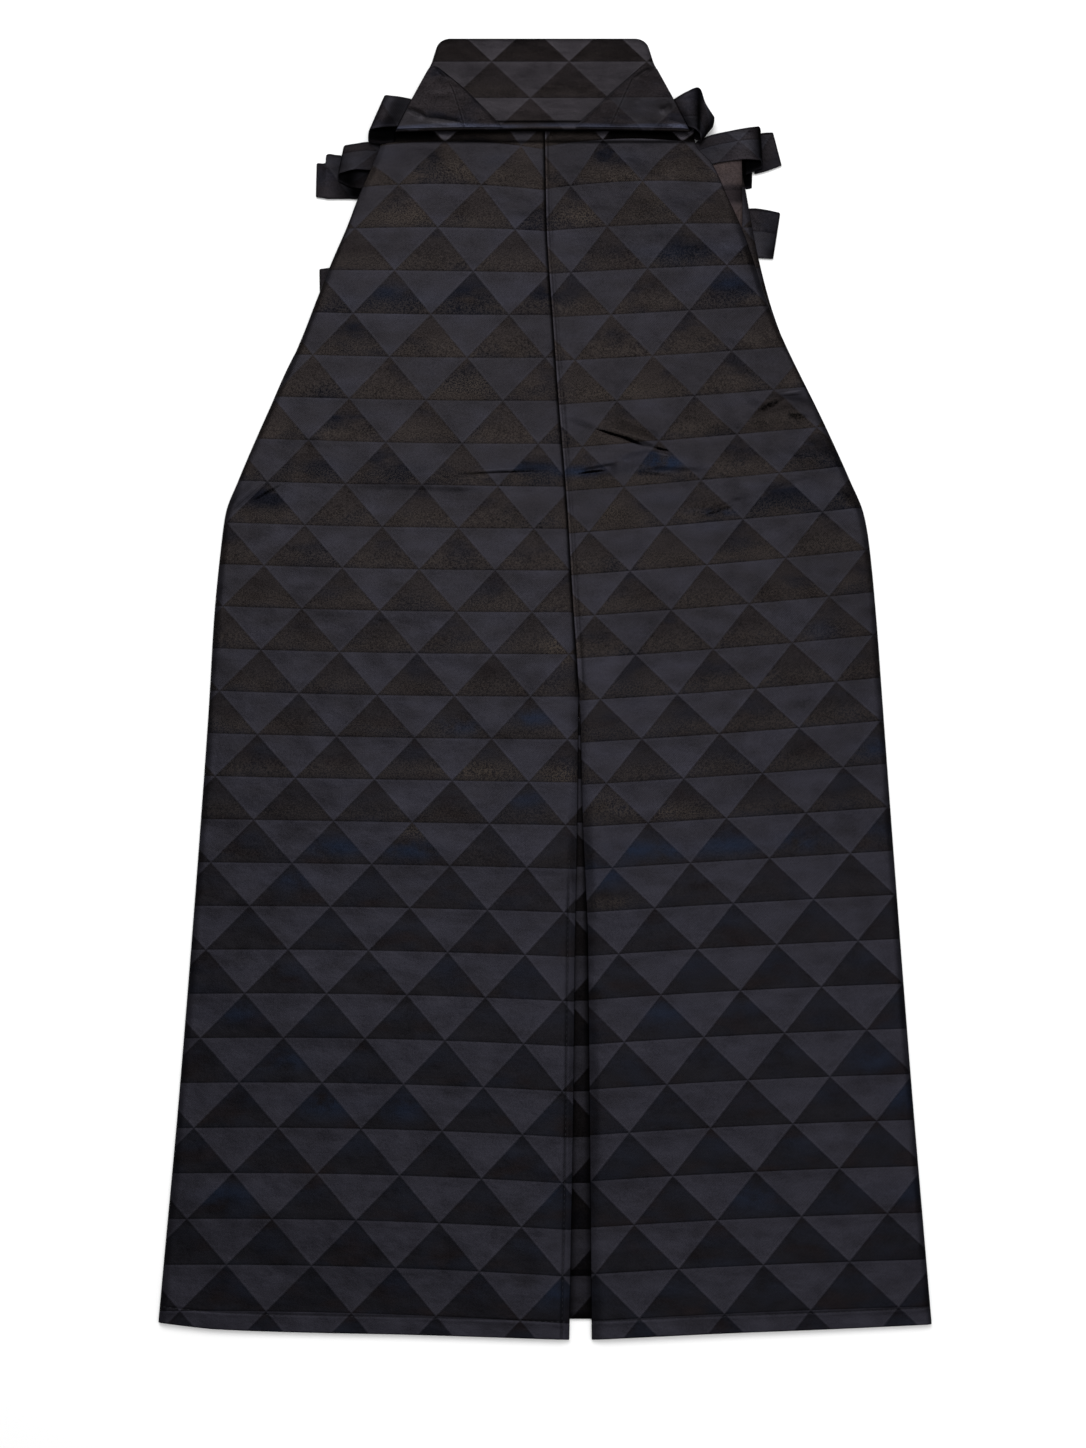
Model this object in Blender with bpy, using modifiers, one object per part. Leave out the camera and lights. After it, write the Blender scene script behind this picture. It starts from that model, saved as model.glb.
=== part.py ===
"""Men's divided hakama, laid face down on a table with its straps folded away.

Metres. X runs across the garment, Y from the hem to the waist, Z up from the table.
The origin is under the middle of the whole piece. Places along the length are given
as "up", measured from the lowest point of the hem.
"""

import math

import bpy
import numpy as np

# Driving dimensions of the garment
LENGTH = 1.033            # lowest hem point to the top edge of the back board
CLOTH = 0.0012            # wall of every cloth panel, lining included
GAP = 0.0003              # clearance between pieces that lie on each other
LAYER = CLOTH + GAP       # rise from one layer to the next
HEM_FADE = 0.16           # length over which the curved hem line straightens

# Outer edges of the back panels, as distances from the middle line
SIDE_EDGE = {
    "up":    (0.000, 0.251, 0.483, 0.548, 0.612, 0.634, 0.660, 0.709, 0.775, 0.808, 0.840,
              0.869, 0.894, 0.922, 0.939, 0.960),
    "left":  (0.2892, 0.2736, 0.2618, 0.2595, 0.2548, 0.2522, 0.2430, 0.2234, 0.1953, 0.1832,
              0.1712, 0.1592, 0.1500, 0.1385, 0.1325, 0.1300),
    "right": (0.2892, 0.2750, 0.2632, 0.2600, 0.2553, 0.2518, 0.2419, 0.2212, 0.1910, 0.1780,
              0.1680, 0.1580, 0.1470, 0.1350, 0.1215, 0.1200),
}

# Inner edges of the back panels: one seam above the split, two edges below it
INNER_EDGE = {
    "up":    (0.000, 0.161, 0.297, 0.389, 0.483, 0.563, 0.643, 0.733, 0.791, 0.870, 0.960),
    "left":  (0.0179, 0.0212, 0.0230, 0.0248, 0.0258, 0.0220, 0.0174, 0.0104, 0.0065, 0.0015, 0.0),
    "right": (0.0351, 0.0341, 0.0330, 0.0294, 0.0273, 0.0223, 0.0177, 0.0107, 0.0068, 0.0018,
              0.0003),
}

# Rise of the hem line, by share of the panel's width from its inner edge
HEM_RISE = {
    "across": (0.0, 0.40, 0.65, 0.85, 1.0),
    "left":   (0.0, 0.0038, 0.0054, 0.0076, 0.0125),
    "right":  (0.0, 0.0048, 0.0072, 0.0094, 0.0112),
}

# Height of the back panels' upper face, over the layers below, and at their outer edge
LIE = {
    "up":   (0.000, 0.634, 0.700, 0.775, 0.808, 0.840, 0.869, 0.894, 0.922, 0.939,
             0.9425, 0.957),
    "body": (0.0057, 0.0057, 0.0060, 0.0072, 0.0086, 0.0099, 0.0101, 0.0102, 0.0103, 0.0106,
             0.0082, 0.0074),
    "edge": (0.0027, 0.0027, 0.0031, 0.0040, 0.0050, 0.0062, 0.0078, 0.0096, 0.0098, 0.0101,
             0.0079, 0.0074),
}
EDGE_ROLL = 0.014         # width over which a panel rounds down to its outer edge
INNER_ROLL = 0.009        # the same at the edges of the split
INNER_DROP = 0.0015       # how far those edges sink towards the gusset
SPLIT_TOP = 0.483
SPLIT_FADE = 0.08         # length over which the sinking fades out above the split

# Rows and columns of the back panels, closer where they crease and turn
BACK_ROWS = (0.0, 0.012, 0.05, 0.11, 0.17, 0.23, 0.29, 0.35, 0.40, 0.44, 0.483, 0.52, 0.56, 0.60,
             0.618, 0.630, 0.640, 0.649, 0.657, 0.664, 0.671, 0.678, 0.685, 0.692, 0.700, 0.710,
             0.722, 0.74, 0.765, 0.79, 0.815, 0.84, 0.869, 0.894, 0.922, 0.939, 0.9425, 0.957)
BACK_COLUMNS = (0.0, 0.015, 0.04, 0.10, 0.18, 0.26, 0.34, 0.42, 0.50, 0.58, 0.66, 0.74, 0.82,
                0.89, 0.94, 0.975, 1.0)

# Main creases: a soft ridge along a line, tapering to nothing at both ends
CREASES = (
    # side,    x from, up from,  x to,  up to,  width,  height
    ("right", 0.036, 0.706, 0.078, 0.688, 0.0060, 0.0022),
    ("right", 0.070, 0.691, 0.112, 0.683, 0.0075, 0.0016),
    ("right", 0.024, 0.667, 0.078, 0.676, 0.0065, 0.0022),
    ("right", 0.060, 0.664, 0.150, 0.672, 0.0110, 0.0014),
    ("right", 0.112, 0.630, 0.168, 0.648, 0.0080, 0.0015),
    ("right", 0.150, 0.714, 0.210, 0.728, 0.0085, 0.0018),
    ("right", 0.188, 0.700, 0.238, 0.664, 0.0100, 0.0014),
    ("right", 0.040, 0.548, 0.110, 0.556, 0.0180, 0.0010),
    ("right", 0.060, 0.404, 0.200, 0.420, 0.0200, 0.0010),
    ("left", -0.150, 0.658, -0.008, 0.656, 0.0070, 0.0015),
    ("left", -0.252, 0.622, -0.214, 0.662, 0.0075, 0.0020),
    ("left", -0.100, 0.520, 0.018, 0.508, 0.0180, 0.0012),
    ("left", -0.170, 0.404, -0.040, 0.396, 0.0200, 0.0010),
    ("left", -0.120, 0.918, -0.060, 0.926, 0.0100, 0.0010),
)

# Front panels: knife pleats whose folds face the middle and spread towards the hem
FRONT_TOP = 0.9137
FRONT_INNER = {"left": (0.012, 0.0255), "right": (0.042, 0.0262)}     # at the hem, at the split
FRONT_INNER_WAIST = {"left": -0.00015, "right": 0.00015}
FRONT_EDGE = {
    "up":    (0.000, 0.251, 0.483, 0.548, 0.612, 0.634, 0.660, 0.709, 0.775, 0.810, 0.845,
              0.889, 0.905, 0.9137),
    "left":  (0.2892, 0.2736, 0.2618, 0.2595, 0.2548, 0.2522, 0.2430, 0.2234, 0.1945, 0.1655,
              0.1550, 0.1320, 0.1270, 0.1250),
    "right": (0.2892, 0.2750, 0.2632, 0.2600, 0.2553, 0.2518, 0.2419, 0.2212, 0.1910, 0.1797,
              0.1712, 0.1638, 0.1615, 0.1602),
}
FRONT_ROWS = (0.0, 0.012, 0.06, 0.12, 0.20, 0.30, 0.40, 0.483, 0.56, 0.634, 0.709, 0.775, 0.810,
              0.828, 0.845, 0.868, 0.889, 0.905, 0.9137)
PLEATS = {                # distance of each fold from the middle: at the waist, at the hem
    "left":  ((0.028, 0.060), (0.062, 0.155)),
    "right": ((0.018, 0.090), (0.046, 0.150), (0.078, 0.215)),
}
PLEAT_DEPTH = (0.018, 0.045)          # underlay of a pleat at the waist, at the hem
PLEAT_RAMP = (0.0055, 0.0015)         # where the cloth starts and ends its climb over a fold
PLEAT_LEVELS = (CLOTH / 2, CLOTH / 2 + LAYER, CLOTH / 2 + 2 * LAYER)
STACK = 3 * CLOTH + 2 * GAP           # height of three layers
SIDE_LIFT = {             # how far the right front's side rides up over the strap under it
    "up":   (0.000, 0.800, 0.832, 0.842, 0.892, 0.9137),
    "lift": (0.0, 0.0, 0.0024, 0.0030, 0.0030, 0.0018),
}
SIDE_LIFT_RAMP = (0.046, 0.026)       # distances from the side where the lift starts and is full

# Gusset that closes the split, seen between the two legs
GUSSET = {
    "up":   (0.015, 0.10, 0.20, 0.30, 0.40, 0.470),
    "half": (0.039, 0.034, 0.028, 0.022, 0.016, 0.012),
}
GUSSET_MIDDLE = 0.0268

# Side fold of the right front, seen in the side opening
SIDE_FOLD = {
    "up":    (0.862, 0.880, 0.900, 0.930),
    "inner": (0.132, 0.126, 0.122, 0.122),
    "outer": (0.1580, 0.1587, 0.1590, 0.1590),
}
SIDE_FOLD_LIFT = 0.0045

# Back board: stiff, tilted, its lower edge lying on the folded straps
BOARD_MIDDLE = -0.0018
BOARD = {
    "up":   (0.9475, 0.978, 1.010, 1.024, 1.033),
    "half": (0.1190, 0.1057, 0.0905, 0.0868, 0.0850),
}
BOARD_BOW = 0.002         # how far the lower edge arches upwards in the middle
BOARD_CORNER = 0.009      # radius of the two upper corners
BOARD_THICK = {"lower": 0.0042, "upper": 0.0030}
BOARD_UNDER = {"lower": 0.0111, "upper": 0.0}      # height of its underside
BOARD_ROLL = 0.0045       # width of the rounding along every edge
EDGE_LEAST = 0.16         # keeps the rounded edge from closing to nothing
BOARD_STATIONS = (-1.0, -0.985, -0.95, -0.89, -0.80, -0.65, -0.45, -0.22, 0.0,
                  0.22, 0.45, 0.65, 0.80, 0.89, 0.95, 0.985, 1.0)
BOARD_SHARES = (0.0, 0.02, 0.055, 0.16, 0.34, 0.52, 0.70, 0.86, 0.945, 0.98, 1.0)

# Strap ends sewn flat over the board's lower corners: their slanting edge on the board
STRAP_END = {
    "share": (0.02, 0.15, 0.29, 0.42, 0.50, 0.57, 0.70),
    "left":  (0.0345, 0.0440, 0.0543, 0.0638, 0.0705, 0.0769, 0.0891),
    "right": (0.0251, 0.0346, 0.0457, 0.0559, 0.0627, 0.0686, 0.0797),
}
STRAP_END_COLUMNS = (0.0, 0.1, 0.35, 0.6, 0.85, 1.0)

# Flat bundles of folded strap, as low and high corners (x, up, z)
BUNDLES = {
    "front_waist_band": ((-0.118, 0.9140, 0.0), (0.118, 0.9410, STACK)),
    "front_strap_bundle": ((-0.1185, 0.852, 0.0045), (0.1185, 0.9370, 0.0081)),
}
BACK_BUNDLE = {"half": 0.1180, "low": 0.9500, "high": 0.972, "thick": 0.0020}

# Strap loops: a ribbon runs out, turns over in a half circle and runs back under itself.
# Each row is a station along a run. "far" is the ribbon's waist-side edge and "near" its
# hem-side edge, as x, up and z of the middle of the cloth.
LOOPS = {
    # far x, far up, far z,  near x, near up, near z
    "back_strap_loop_left": {
        "out": ((-0.1094, 0.9762, 0.0112, -0.1205, 0.9520, 0.0146),
                (-0.1200, 0.9785, 0.0112, -0.1310, 0.9515, 0.0144),
                (-0.1285, 0.9800, 0.0104, -0.1405, 0.9500, 0.0138)),
        "back": ((-0.1288, 0.9775, 0.0072, -0.1412, 0.9410, 0.0112),
                 (-0.1230, 0.9745, 0.0068, -0.1320, 0.9400, 0.0112),
                 (-0.1205, 0.9705, 0.0068, -0.1215, 0.9420, 0.0111)),
    },
    "back_strap_loop_right": {
        "out": ((0.1062, 0.9760, 0.0112, 0.1172, 0.9518, 0.0146),
                (0.1160, 0.9820, 0.0124, 0.1215, 0.9495, 0.0145),
                (0.1243, 0.9855, 0.0124, 0.1240, 0.9470, 0.0141),
                (0.1298, 0.9725, 0.0118, 0.1255, 0.9450, 0.0138),
                (0.1367, 0.9612, 0.0110, 0.1258, 0.9424, 0.0135)),
        "back": ((0.1350, 0.9535, 0.0084, 0.1250, 0.9400, 0.0112),
                 (0.1215, 0.9570, 0.0080, 0.1205, 0.9430, 0.0110)),
    },
    "front_strap_left_upper": {
        "out": ((-0.1190, 0.9390, 0.0073, -0.1190, 0.9165, 0.0073),
                (-0.1320, 0.9402, 0.0073, -0.1320, 0.9172, 0.0073),
                (-0.1430, 0.9412, 0.0073, -0.1430, 0.9178, 0.0073),
                (-0.1545, 0.9395, 0.0074, -0.1545, 0.9180, 0.0078),
                (-0.1612, 0.9385, 0.0072, -0.1655, 0.9150, 0.0074)),
        "back": ((-0.1612, 0.9330, 0.0037, -0.1650, 0.9085, 0.0037),
                 (-0.1560, 0.9290, 0.0036, -0.1580, 0.9050, 0.0036),
                 (-0.1470, 0.9270, 0.0036, -0.1480, 0.9035, 0.0036),
                 (-0.1300, 0.9250, 0.0036, -0.1300, 0.9030, 0.0036)),
    },
    "front_strap_left_middle": {
        "out": ((-0.1300, 0.9280, 0.0021, -0.1300, 0.8950, 0.0021),
                (-0.1550, 0.9300, 0.0021, -0.1560, 0.8955, 0.0021),
                (-0.1765, 0.9322, 0.0021, -0.1760, 0.8955, 0.0021),
                (-0.1838, 0.9252, 0.0021, -0.1840, 0.8968, 0.0021)),
        "back": ((-0.1838, 0.9240, 0.0006, -0.1840, 0.8985, 0.0006),
                 (-0.1740, 0.9230, 0.0006, -0.1740, 0.8975, 0.0006),
                 (-0.1300, 0.9210, 0.0006, -0.1300, 0.8970, 0.0006)),
    },
    "front_strap_left_lower": {
        "out": ((-0.1540, 0.8370, 0.0021, -0.1540, 0.8130, 0.0021),
                (-0.1690, 0.8370, 0.0021, -0.1690, 0.8130, 0.0021),
                (-0.1802, 0.8357, 0.0021, -0.1795, 0.8130, 0.0021)),
        "back": ((-0.1802, 0.8347, 0.0006, -0.1795, 0.8130, 0.0006),
                 (-0.1690, 0.8340, 0.0006, -0.1690, 0.8130, 0.0006)),
    },
    "front_strap_right_upper": {
        "out": ((0.1190, 0.9372, 0.0073, 0.1190, 0.9175, 0.0073),
                (0.1228, 0.9412, 0.0073, 0.1228, 0.9190, 0.0073),
                (0.1300, 0.9452, 0.0073, 0.1300, 0.9215, 0.0073),
                (0.1500, 0.9505, 0.0075, 0.1500, 0.9255, 0.0075),
                (0.1660, 0.9535, 0.0076, 0.1660, 0.9268, 0.0077),
                (0.1730, 0.9546, 0.0070, 0.1738, 0.9262, 0.0070)),
        "back": ((0.1730, 0.9480, 0.0038, 0.1742, 0.9200, 0.0038),
                 (0.1625, 0.9430, 0.0037, 0.1625, 0.9150, 0.0037)),
    },
    "front_strap_right_middle": {
        "out": ((0.1700, 0.9490, 0.0021, 0.1700, 0.9165, 0.0021),
                (0.1770, 0.9510, 0.0021, 0.1790, 0.9190, 0.0021),
                (0.1844, 0.9515, 0.0021, 0.1907, 0.9235, 0.0021)),
        "back": ((0.1844, 0.9503, 0.0006, 0.1907, 0.9247, 0.0006),
                 (0.1770, 0.9475, 0.0006, 0.1790, 0.9215, 0.0006),
                 (0.1700, 0.9450, 0.0006, 0.1700, 0.9190, 0.0006)),
    },
    "front_strap_right_end": {
        "out": ((0.1593, 0.9300, 0.0006, 0.1593, 0.9055, 0.0006),
                (0.1637, 0.9300, 0.0006, 0.1637, 0.9045, 0.0006),
                (0.1680, 0.9300, 0.0006, 0.1672, 0.9052, 0.0006)),
        "back": (),
    },
    "front_strap_right_lower": {
        "out": ((0.1500, 0.8830, 0.0021, 0.1500, 0.8480, 0.0021),
                (0.1700, 0.8868, 0.0021, 0.1700, 0.8458, 0.0021),
                (0.1888, 0.8833, 0.0021, 0.1827, 0.8448, 0.0021)),
        "back": ((0.1888, 0.8818, 0.0006, 0.1827, 0.8462, 0.0006),
                 (0.1700, 0.8780, 0.0006, 0.1700, 0.8500, 0.0006),
                 (0.1500, 0.8760, 0.0006, 0.1500, 0.8510, 0.0006)),
    },
}
LOOP_STEPS = 2            # stations worked out between two rows
LOOP_TURN = (36, 72, 108, 144)        # degrees round the half circle at the turn
LOOP_COLUMNS = (0.0, 0.35, 0.7, 1.0)

# Colours of the cloth, linear
JACQUARD = (0.0185, 0.0165, 0.0175)
JACQUARD_SHADE = (0.0095, 0.0085, 0.0100)
STRAP_CLOTH = (0.0205, 0.0190, 0.0215)
SATIN_ROUGHNESS = 0.42


def column(table, name, at):
    """A named column of a table, read between its rows."""
    steps = np.array(table["up" if "up" in table else "across"])
    return np.interp(at, steps, np.array(table[name]))


def place(x, up, z):
    """Points of the part from places across, up the length and above the table."""
    return np.stack(np.broadcast_arrays(x, up - LENGTH / 2, z), axis=-1)


def clear_scene():
    for thing in list(bpy.data.objects):
        bpy.data.objects.remove(thing, do_unlink=True)


def cloth_material(name, colour):
    material = bpy.data.materials.new(name)
    material.use_nodes = True
    shader = material.node_tree.nodes["Principled BSDF"]
    shader.inputs["Base Color"].default_value = (*colour, 1.0)
    shader.inputs["Roughness"].default_value = SATIN_ROUGHNESS
    shader.inputs["Metallic"].default_value = 0.0
    return material


def add_object(name, points, faces, colour):
    mesh = bpy.data.meshes.new(name)
    mesh.from_pydata(points.reshape(-1, 3).tolist(), [], faces)
    mesh.shade_smooth()
    mesh.set_sharp_from_angle(angle=math.radians(40))
    thing = bpy.data.objects.new(name, mesh)
    mesh.materials.append(cloth_material(name, colour))
    bpy.data.collections["hakama"].objects.link(thing)
    return thing


def grid_faces(rows, columns):
    """Quads of a grid whose columns run along +X and rows along +Y, facing up."""
    return [(r * columns + c, r * columns + c + 1, (r + 1) * columns + c + 1, (r + 1) * columns + c)
            for r in range(rows - 1) for c in range(columns - 1)]


def add_cloth(name, points, colour, offset):
    """An open sheet given a wall: offset -1 hangs the wall below it, 0 centres it."""
    rows, columns = points.shape[:2]
    thing = add_object(name, points, grid_faces(rows, columns), colour)
    wall = thing.modifiers.new("wall", "SOLIDIFY")
    wall.thickness = CLOTH
    wall.offset = offset
    wall.use_even_offset = True
    return thing


def add_loft(name, rings, colour):
    """A closed solid through rings of equal count, capped at both ends."""
    count, around = rings.shape[:2]
    faces = [(r * around + k, r * around + (k + 1) % around,
              (r + 1) * around + (k + 1) % around, (r + 1) * around + k)
             for r in range(count - 1) for k in range(around)]
    faces.append(tuple(range(around))[::-1])
    faces.append(tuple(range((count - 1) * around, count * around)))
    return add_object(name, rings, faces, colour)


def smooth_rows(table, steps):
    """Rows of a table with points of a smooth curve worked out between them.

    Each span is a cubic whose end slopes are the neighbouring spans' slopes, weighed
    by their lengths, so that a short turn between two long runs doesn't swing wide.
    """
    rows = np.array(table)
    length = np.linalg.norm(np.diff(rows, axis=0), axis=1)[:, None]
    slope = np.diff(rows, axis=0) / length
    between = (slope[:-1] * length[1:] + slope[1:] * length[:-1]) / (length[:-1] + length[1:])
    tangent = np.vstack([slope[:1], between, slope[-1:]])
    t = (np.arange(steps) / steps)[:, None]
    spans = [(2 * t**3 - 3 * t**2 + 1) * a + (t**3 - 2 * t**2 + t) * run * start
             + (3 * t**2 - 2 * t**3) * b + (t**3 - t**2) * run * end
             for a, b, run, start, end in zip(rows, rows[1:], length, tangent, tangent[1:])]
    return np.vstack([*spans, rows[-1:]])


def soft_step(share):
    """Rises smoothly from 0 to 1 as share goes from 0 to 1."""
    share = np.clip(share, 0.0, 1.0)
    return share * share * (3 - 2 * share)


def crease_height(side, x, up):
    """Sum of the soft ridges that run over a back panel."""
    height = np.zeros(np.broadcast(x, up).shape)
    for owner, x0, up0, x1, up1, width, rise in CREASES:
        if owner != side:
            continue
        length = math.hypot(x1 - x0, up1 - up0)
        along = ((x - x0) * (x1 - x0) + (up - up0) * (up1 - up0)) / length**2
        off = ((x - x0) * (up1 - up0) - (up - up0) * (x1 - x0)) / length
        taper = soft_step(along * 3) * soft_step((1 - along) * 3)
        height += rise * taper * np.exp(-((off / width) ** 2))
    return height


def back_panel_points(side):
    """Upper face of one leg's back: heights from the layers below, edges, creases."""
    way = -1.0 if side == "left" else 1.0
    up = np.array(BACK_ROWS)[:, None]
    across = np.array(BACK_COLUMNS)[None, :]
    inner = column(INNER_EDGE, side, up)
    outer = way * column(SIDE_EDGE, side, up)
    x = inner + across * (outer - inner)
    rise = column(HEM_RISE, side, across) * np.clip(1 - up / HEM_FADE, 0, 1)
    from_outer = np.clip(np.abs(outer - x) / EDGE_ROLL, 0, 1)
    from_inner = np.clip(np.abs(x - inner) / INNER_ROLL, 0, 1)
    body = column(LIE, "body", up)
    edge = column(LIE, "edge", up)
    z = edge + (body - edge) * (1 - (1 - from_outer) ** 2)
    sink = INNER_DROP * soft_step((SPLIT_TOP + SPLIT_FADE - up) / SPLIT_FADE)
    z = z - sink * (1 - from_inner) ** 2
    z = z + crease_height(side, x, up) * soft_step(from_outer) * soft_step(from_inner)
    points = place(x, up + rise, z)
    return points if side == "right" else points[:, ::-1]


def front_panel_points(side):
    """One leg's front: a path across the leg that turns back twice at each pleat."""
    way = -1.0 if side == "left" else 1.0
    level = PLEAT_LEVELS
    rows = []
    for up in FRONT_ROWS:
        toward_waist = up / FRONT_TOP
        hem_x, split_x = FRONT_INNER[side]
        inner = np.interp(up, (0, SPLIT_TOP, FRONT_TOP), (hem_x, split_x, FRONT_INNER_WAIST[side]))
        outer = way * column(FRONT_EDGE, side, up)
        depth = np.interp(toward_waist, (0, 1), PLEAT_DEPTH[::-1])
        path = [(inner, level[0])]
        for waist_x, hem_x in PLEATS[side]:
            fold = way * np.interp(toward_waist, (0, 1), (hem_x, waist_x))
            path += [(fold - way * PLEAT_RAMP[0], level[0]), (fold - way * PLEAT_RAMP[1], level[2]),
                     (fold + way * depth, level[2]), (fold + way * depth, level[1]),
                     (fold, level[1]), (fold, level[0])]
        lift = float(column(SIDE_LIFT, "lift", up)) if side == "right" else 0.0
        path += [(outer - way * SIDE_LIFT_RAMP[0], level[0]),
                 (outer - way * SIDE_LIFT_RAMP[1], level[0] + lift), (outer, level[0] + lift)]
        x, z = np.array(path).T
        across = np.clip((x - inner) / (outer - inner), 0, 1)
        rise = column(HEM_RISE, side, across) * max(0.0, 1 - up / HEM_FADE)
        rows.append(place(x, up + rise, z))
    points = np.array(rows)
    return points if side == "right" else points[:, ::-1]


def add_legs():
    for side in ("left", "right"):
        add_cloth(f"back_leg_{side}", back_panel_points(side), JACQUARD, -1.0)
        add_cloth(f"front_leg_{side}", front_panel_points(side), JACQUARD_SHADE, 0.0)


def add_gusset():
    up = np.array(GUSSET["up"])[:, None]
    across = np.linspace(-1, 1, 5)[None, :]
    x = GUSSET_MIDDLE + across * column(GUSSET, "half", up)
    add_cloth("gusset", place(x, up, 2 * CLOTH + GAP), JACQUARD_SHADE, -1.0)


def add_side_fold():
    up = np.array(SIDE_FOLD["up"])[:, None]
    across = np.linspace(0, 1, 4)[None, :]
    inner, outer = column(SIDE_FOLD, "inner", up), column(SIDE_FOLD, "outer", up)
    x = inner + across * (outer - inner)
    add_cloth("side_fold_right", place(x, up, SIDE_FOLD_LIFT + CLOTH), JACQUARD_SHADE, -1.0)


def board_point(station, share, face, rounded=True):
    """A point of the board: station -1 to 1 across, share 0 to 1 from its lower edge up.

    face is 1 on the upper face and -1 on the underside. The lower edge arches, the
    upper corners are arcs, and a rounded face falls away towards every edge.
    """
    low, high = BOARD["up"][0], BOARD["up"][-1]
    half_top = BOARD["half"][-1]
    into_corner = np.clip(np.abs(station) * half_top - (half_top - BOARD_CORNER), 0, BOARD_CORNER)
    top = high - (BOARD_CORNER - np.sqrt(BOARD_CORNER**2 - into_corner**2))
    bottom = low + BOARD_BOW * (1 - station**2)
    up = bottom + share * (top - bottom)
    half = column(BOARD, "half", up)
    x = BOARD_MIDDLE + station * half
    along = (up - low) / (high - low)
    thick = BOARD_THICK["lower"] + along * (BOARD_THICK["upper"] - BOARD_THICK["lower"])
    under = BOARD_UNDER["lower"] + along * (BOARD_UNDER["upper"] - BOARD_UNDER["lower"])
    fall = 1.0
    if rounded:
        to_edge = np.minimum(share, 1 - share) * (top - bottom) / BOARD_ROLL
        to_side = half * (1 - np.abs(station)) / BOARD_ROLL
        fall = np.sqrt(np.clip(to_edge, EDGE_LEAST, 1) * np.clip(to_side, EDGE_LEAST, 1))
    return place(x, up, under + thick / 2 + face * thick / 2 * fall)


def add_board():
    shares = np.array(BOARD_SHARES)
    rings = []
    for station in BOARD_STATIONS:
        upper = board_point(station, shares, 1)
        lower = board_point(station, shares[::-1], -1)
        rings.append(np.vstack([upper, lower]))
    add_loft("back_board", np.array(rings)[:, ::-1], JACQUARD)


def add_strap_ends():
    """Each strap end is the board's upper face, unrounded, moved out by gap and wall."""
    shares = np.array(STRAP_END["share"])[:, None]
    for side, way in (("left", -1.0), ("right", 1.0)):
        seam = np.array(STRAP_END[side])[:, None]
        low, high = BOARD["up"][0], BOARD["up"][-1]
        half = column(BOARD, "half", low + shares * (high - low))
        seam_station = (way * seam - BOARD_MIDDLE) / half
        edge_station = way * 0.992
        columns = np.array(STRAP_END_COLUMNS)[None, :]
        station = edge_station + columns * (seam_station - edge_station)
        points = board_point(station, shares, 1, rounded=False) + np.array((0, 0, GAP + CLOTH))
        points = points if side == "left" else points[:, ::-1]
        add_cloth(f"strap_end_{side}", points, STRAP_CLOTH, -1.0)


def rounded_section(low, high, bottom, top):
    """A flat oval of sixteen points from low to high, with full round edges."""
    radius = (top - bottom) / 2
    turns = np.linspace(-math.pi / 2, math.pi / 2, 5)
    right = np.stack([high - radius + radius * np.cos(turns), radius + radius * np.sin(turns)], -1)
    left = np.stack([low + radius - radius * np.cos(turns), radius - radius * np.sin(turns)], -1)
    section = np.vstack([right, left])
    section[:, 1] += bottom
    return section


def add_bundles():
    """Flat rounded solids for strap that is folded away out of sight."""
    for name, (low, high) in BUNDLES.items():
        rings = []
        for share, trim in ((0.0, 0.0012), (0.006, 0.0), (0.5, 0.0), (0.994, 0.0), (1.0, 0.0012)):
            x = low[0] + share * (high[0] - low[0])
            section = rounded_section(low[1] + trim, high[1] - trim, low[2], high[2])
            rings.append(place(x, section[:, 0], section[:, 1]))
        add_loft(name, np.array(rings), STRAP_CLOTH)


def add_back_bundle():
    """The back straps' hidden fold, lying along the board's underside."""
    low, high = BACK_BUNDLE["low"], BACK_BUNDLE["high"]
    fall = (BOARD_UNDER["lower"] - BOARD_UNDER["upper"]) / (BOARD["up"][-1] - BOARD["up"][0])
    rings = []
    for station in (-1.0, -0.98, -0.5, 0.0, 0.5, 0.98, 1.0):
        trim = 0.001 if abs(station) == 1 else 0.0
        section = rounded_section(low + trim, high - trim, 0.0, BACK_BUNDLE["thick"])
        under = BOARD_UNDER["lower"] - fall * (section[:, 0] - BOARD["up"][0])
        z = np.minimum(under - GAP - BACK_BUNDLE["thick"] + section[:, 1], BOARD_UNDER["lower"])
        rings.append(place(BOARD_MIDDLE + station * BACK_BUNDLE["half"], section[:, 0], z))
    add_loft("back_strap_bundle", np.array(rings), STRAP_CLOTH)


def loop_stations(out, back):
    """Stations of a loop: the run out, a half circle about the gap, the run back.

    A point of the turn is the middle of the two run ends, plus the cosine of its angle
    towards the upper end, plus the sine of it outwards by half the height between them.
    """
    out = smooth_rows(out, LOOP_STEPS)
    if not back:
        return out
    back = smooth_rows(back, LOOP_STEPS)
    above, below = out[-1].reshape(2, 3), back[0].reshape(2, 3)
    ahead = np.diff(out[-2:].reshape(2, 2, 3).mean(axis=1), axis=0)[0] * (1, 1, 0)
    ahead /= np.linalg.norm(ahead)
    reach = (above - below)[:, 2:] / 2
    turn = [((above + below) / 2 + math.cos(math.radians(angle)) * (above - below) / 2
             + math.sin(math.radians(angle)) * reach * ahead).ravel() for angle in LOOP_TURN]
    return np.vstack([out, turn, back])


def add_loops():
    """Each loop is a ribbon ruled between its far and near edges along its stations."""
    columns = np.array(LOOP_COLUMNS)[:, None]
    for name, runs in LOOPS.items():
        stations = loop_stations(runs["out"], runs["back"])
        far, near = stations[:, None, :3], stations[:, None, 3:]
        points = near + columns * (far - near)
        points = place(points[..., 0], points[..., 1], points[..., 2])
        add_cloth(name, np.swapaxes(points, 0, 1), STRAP_CLOTH, 0.0)


def main():
    clear_scene()
    bpy.context.scene.collection.children.link(bpy.data.collections.new("hakama"))
    add_legs()
    add_gusset()
    add_side_fold()
    add_board()
    add_strap_ends()
    add_bundles()
    add_back_bundle()
    add_loops()


main()
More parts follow.
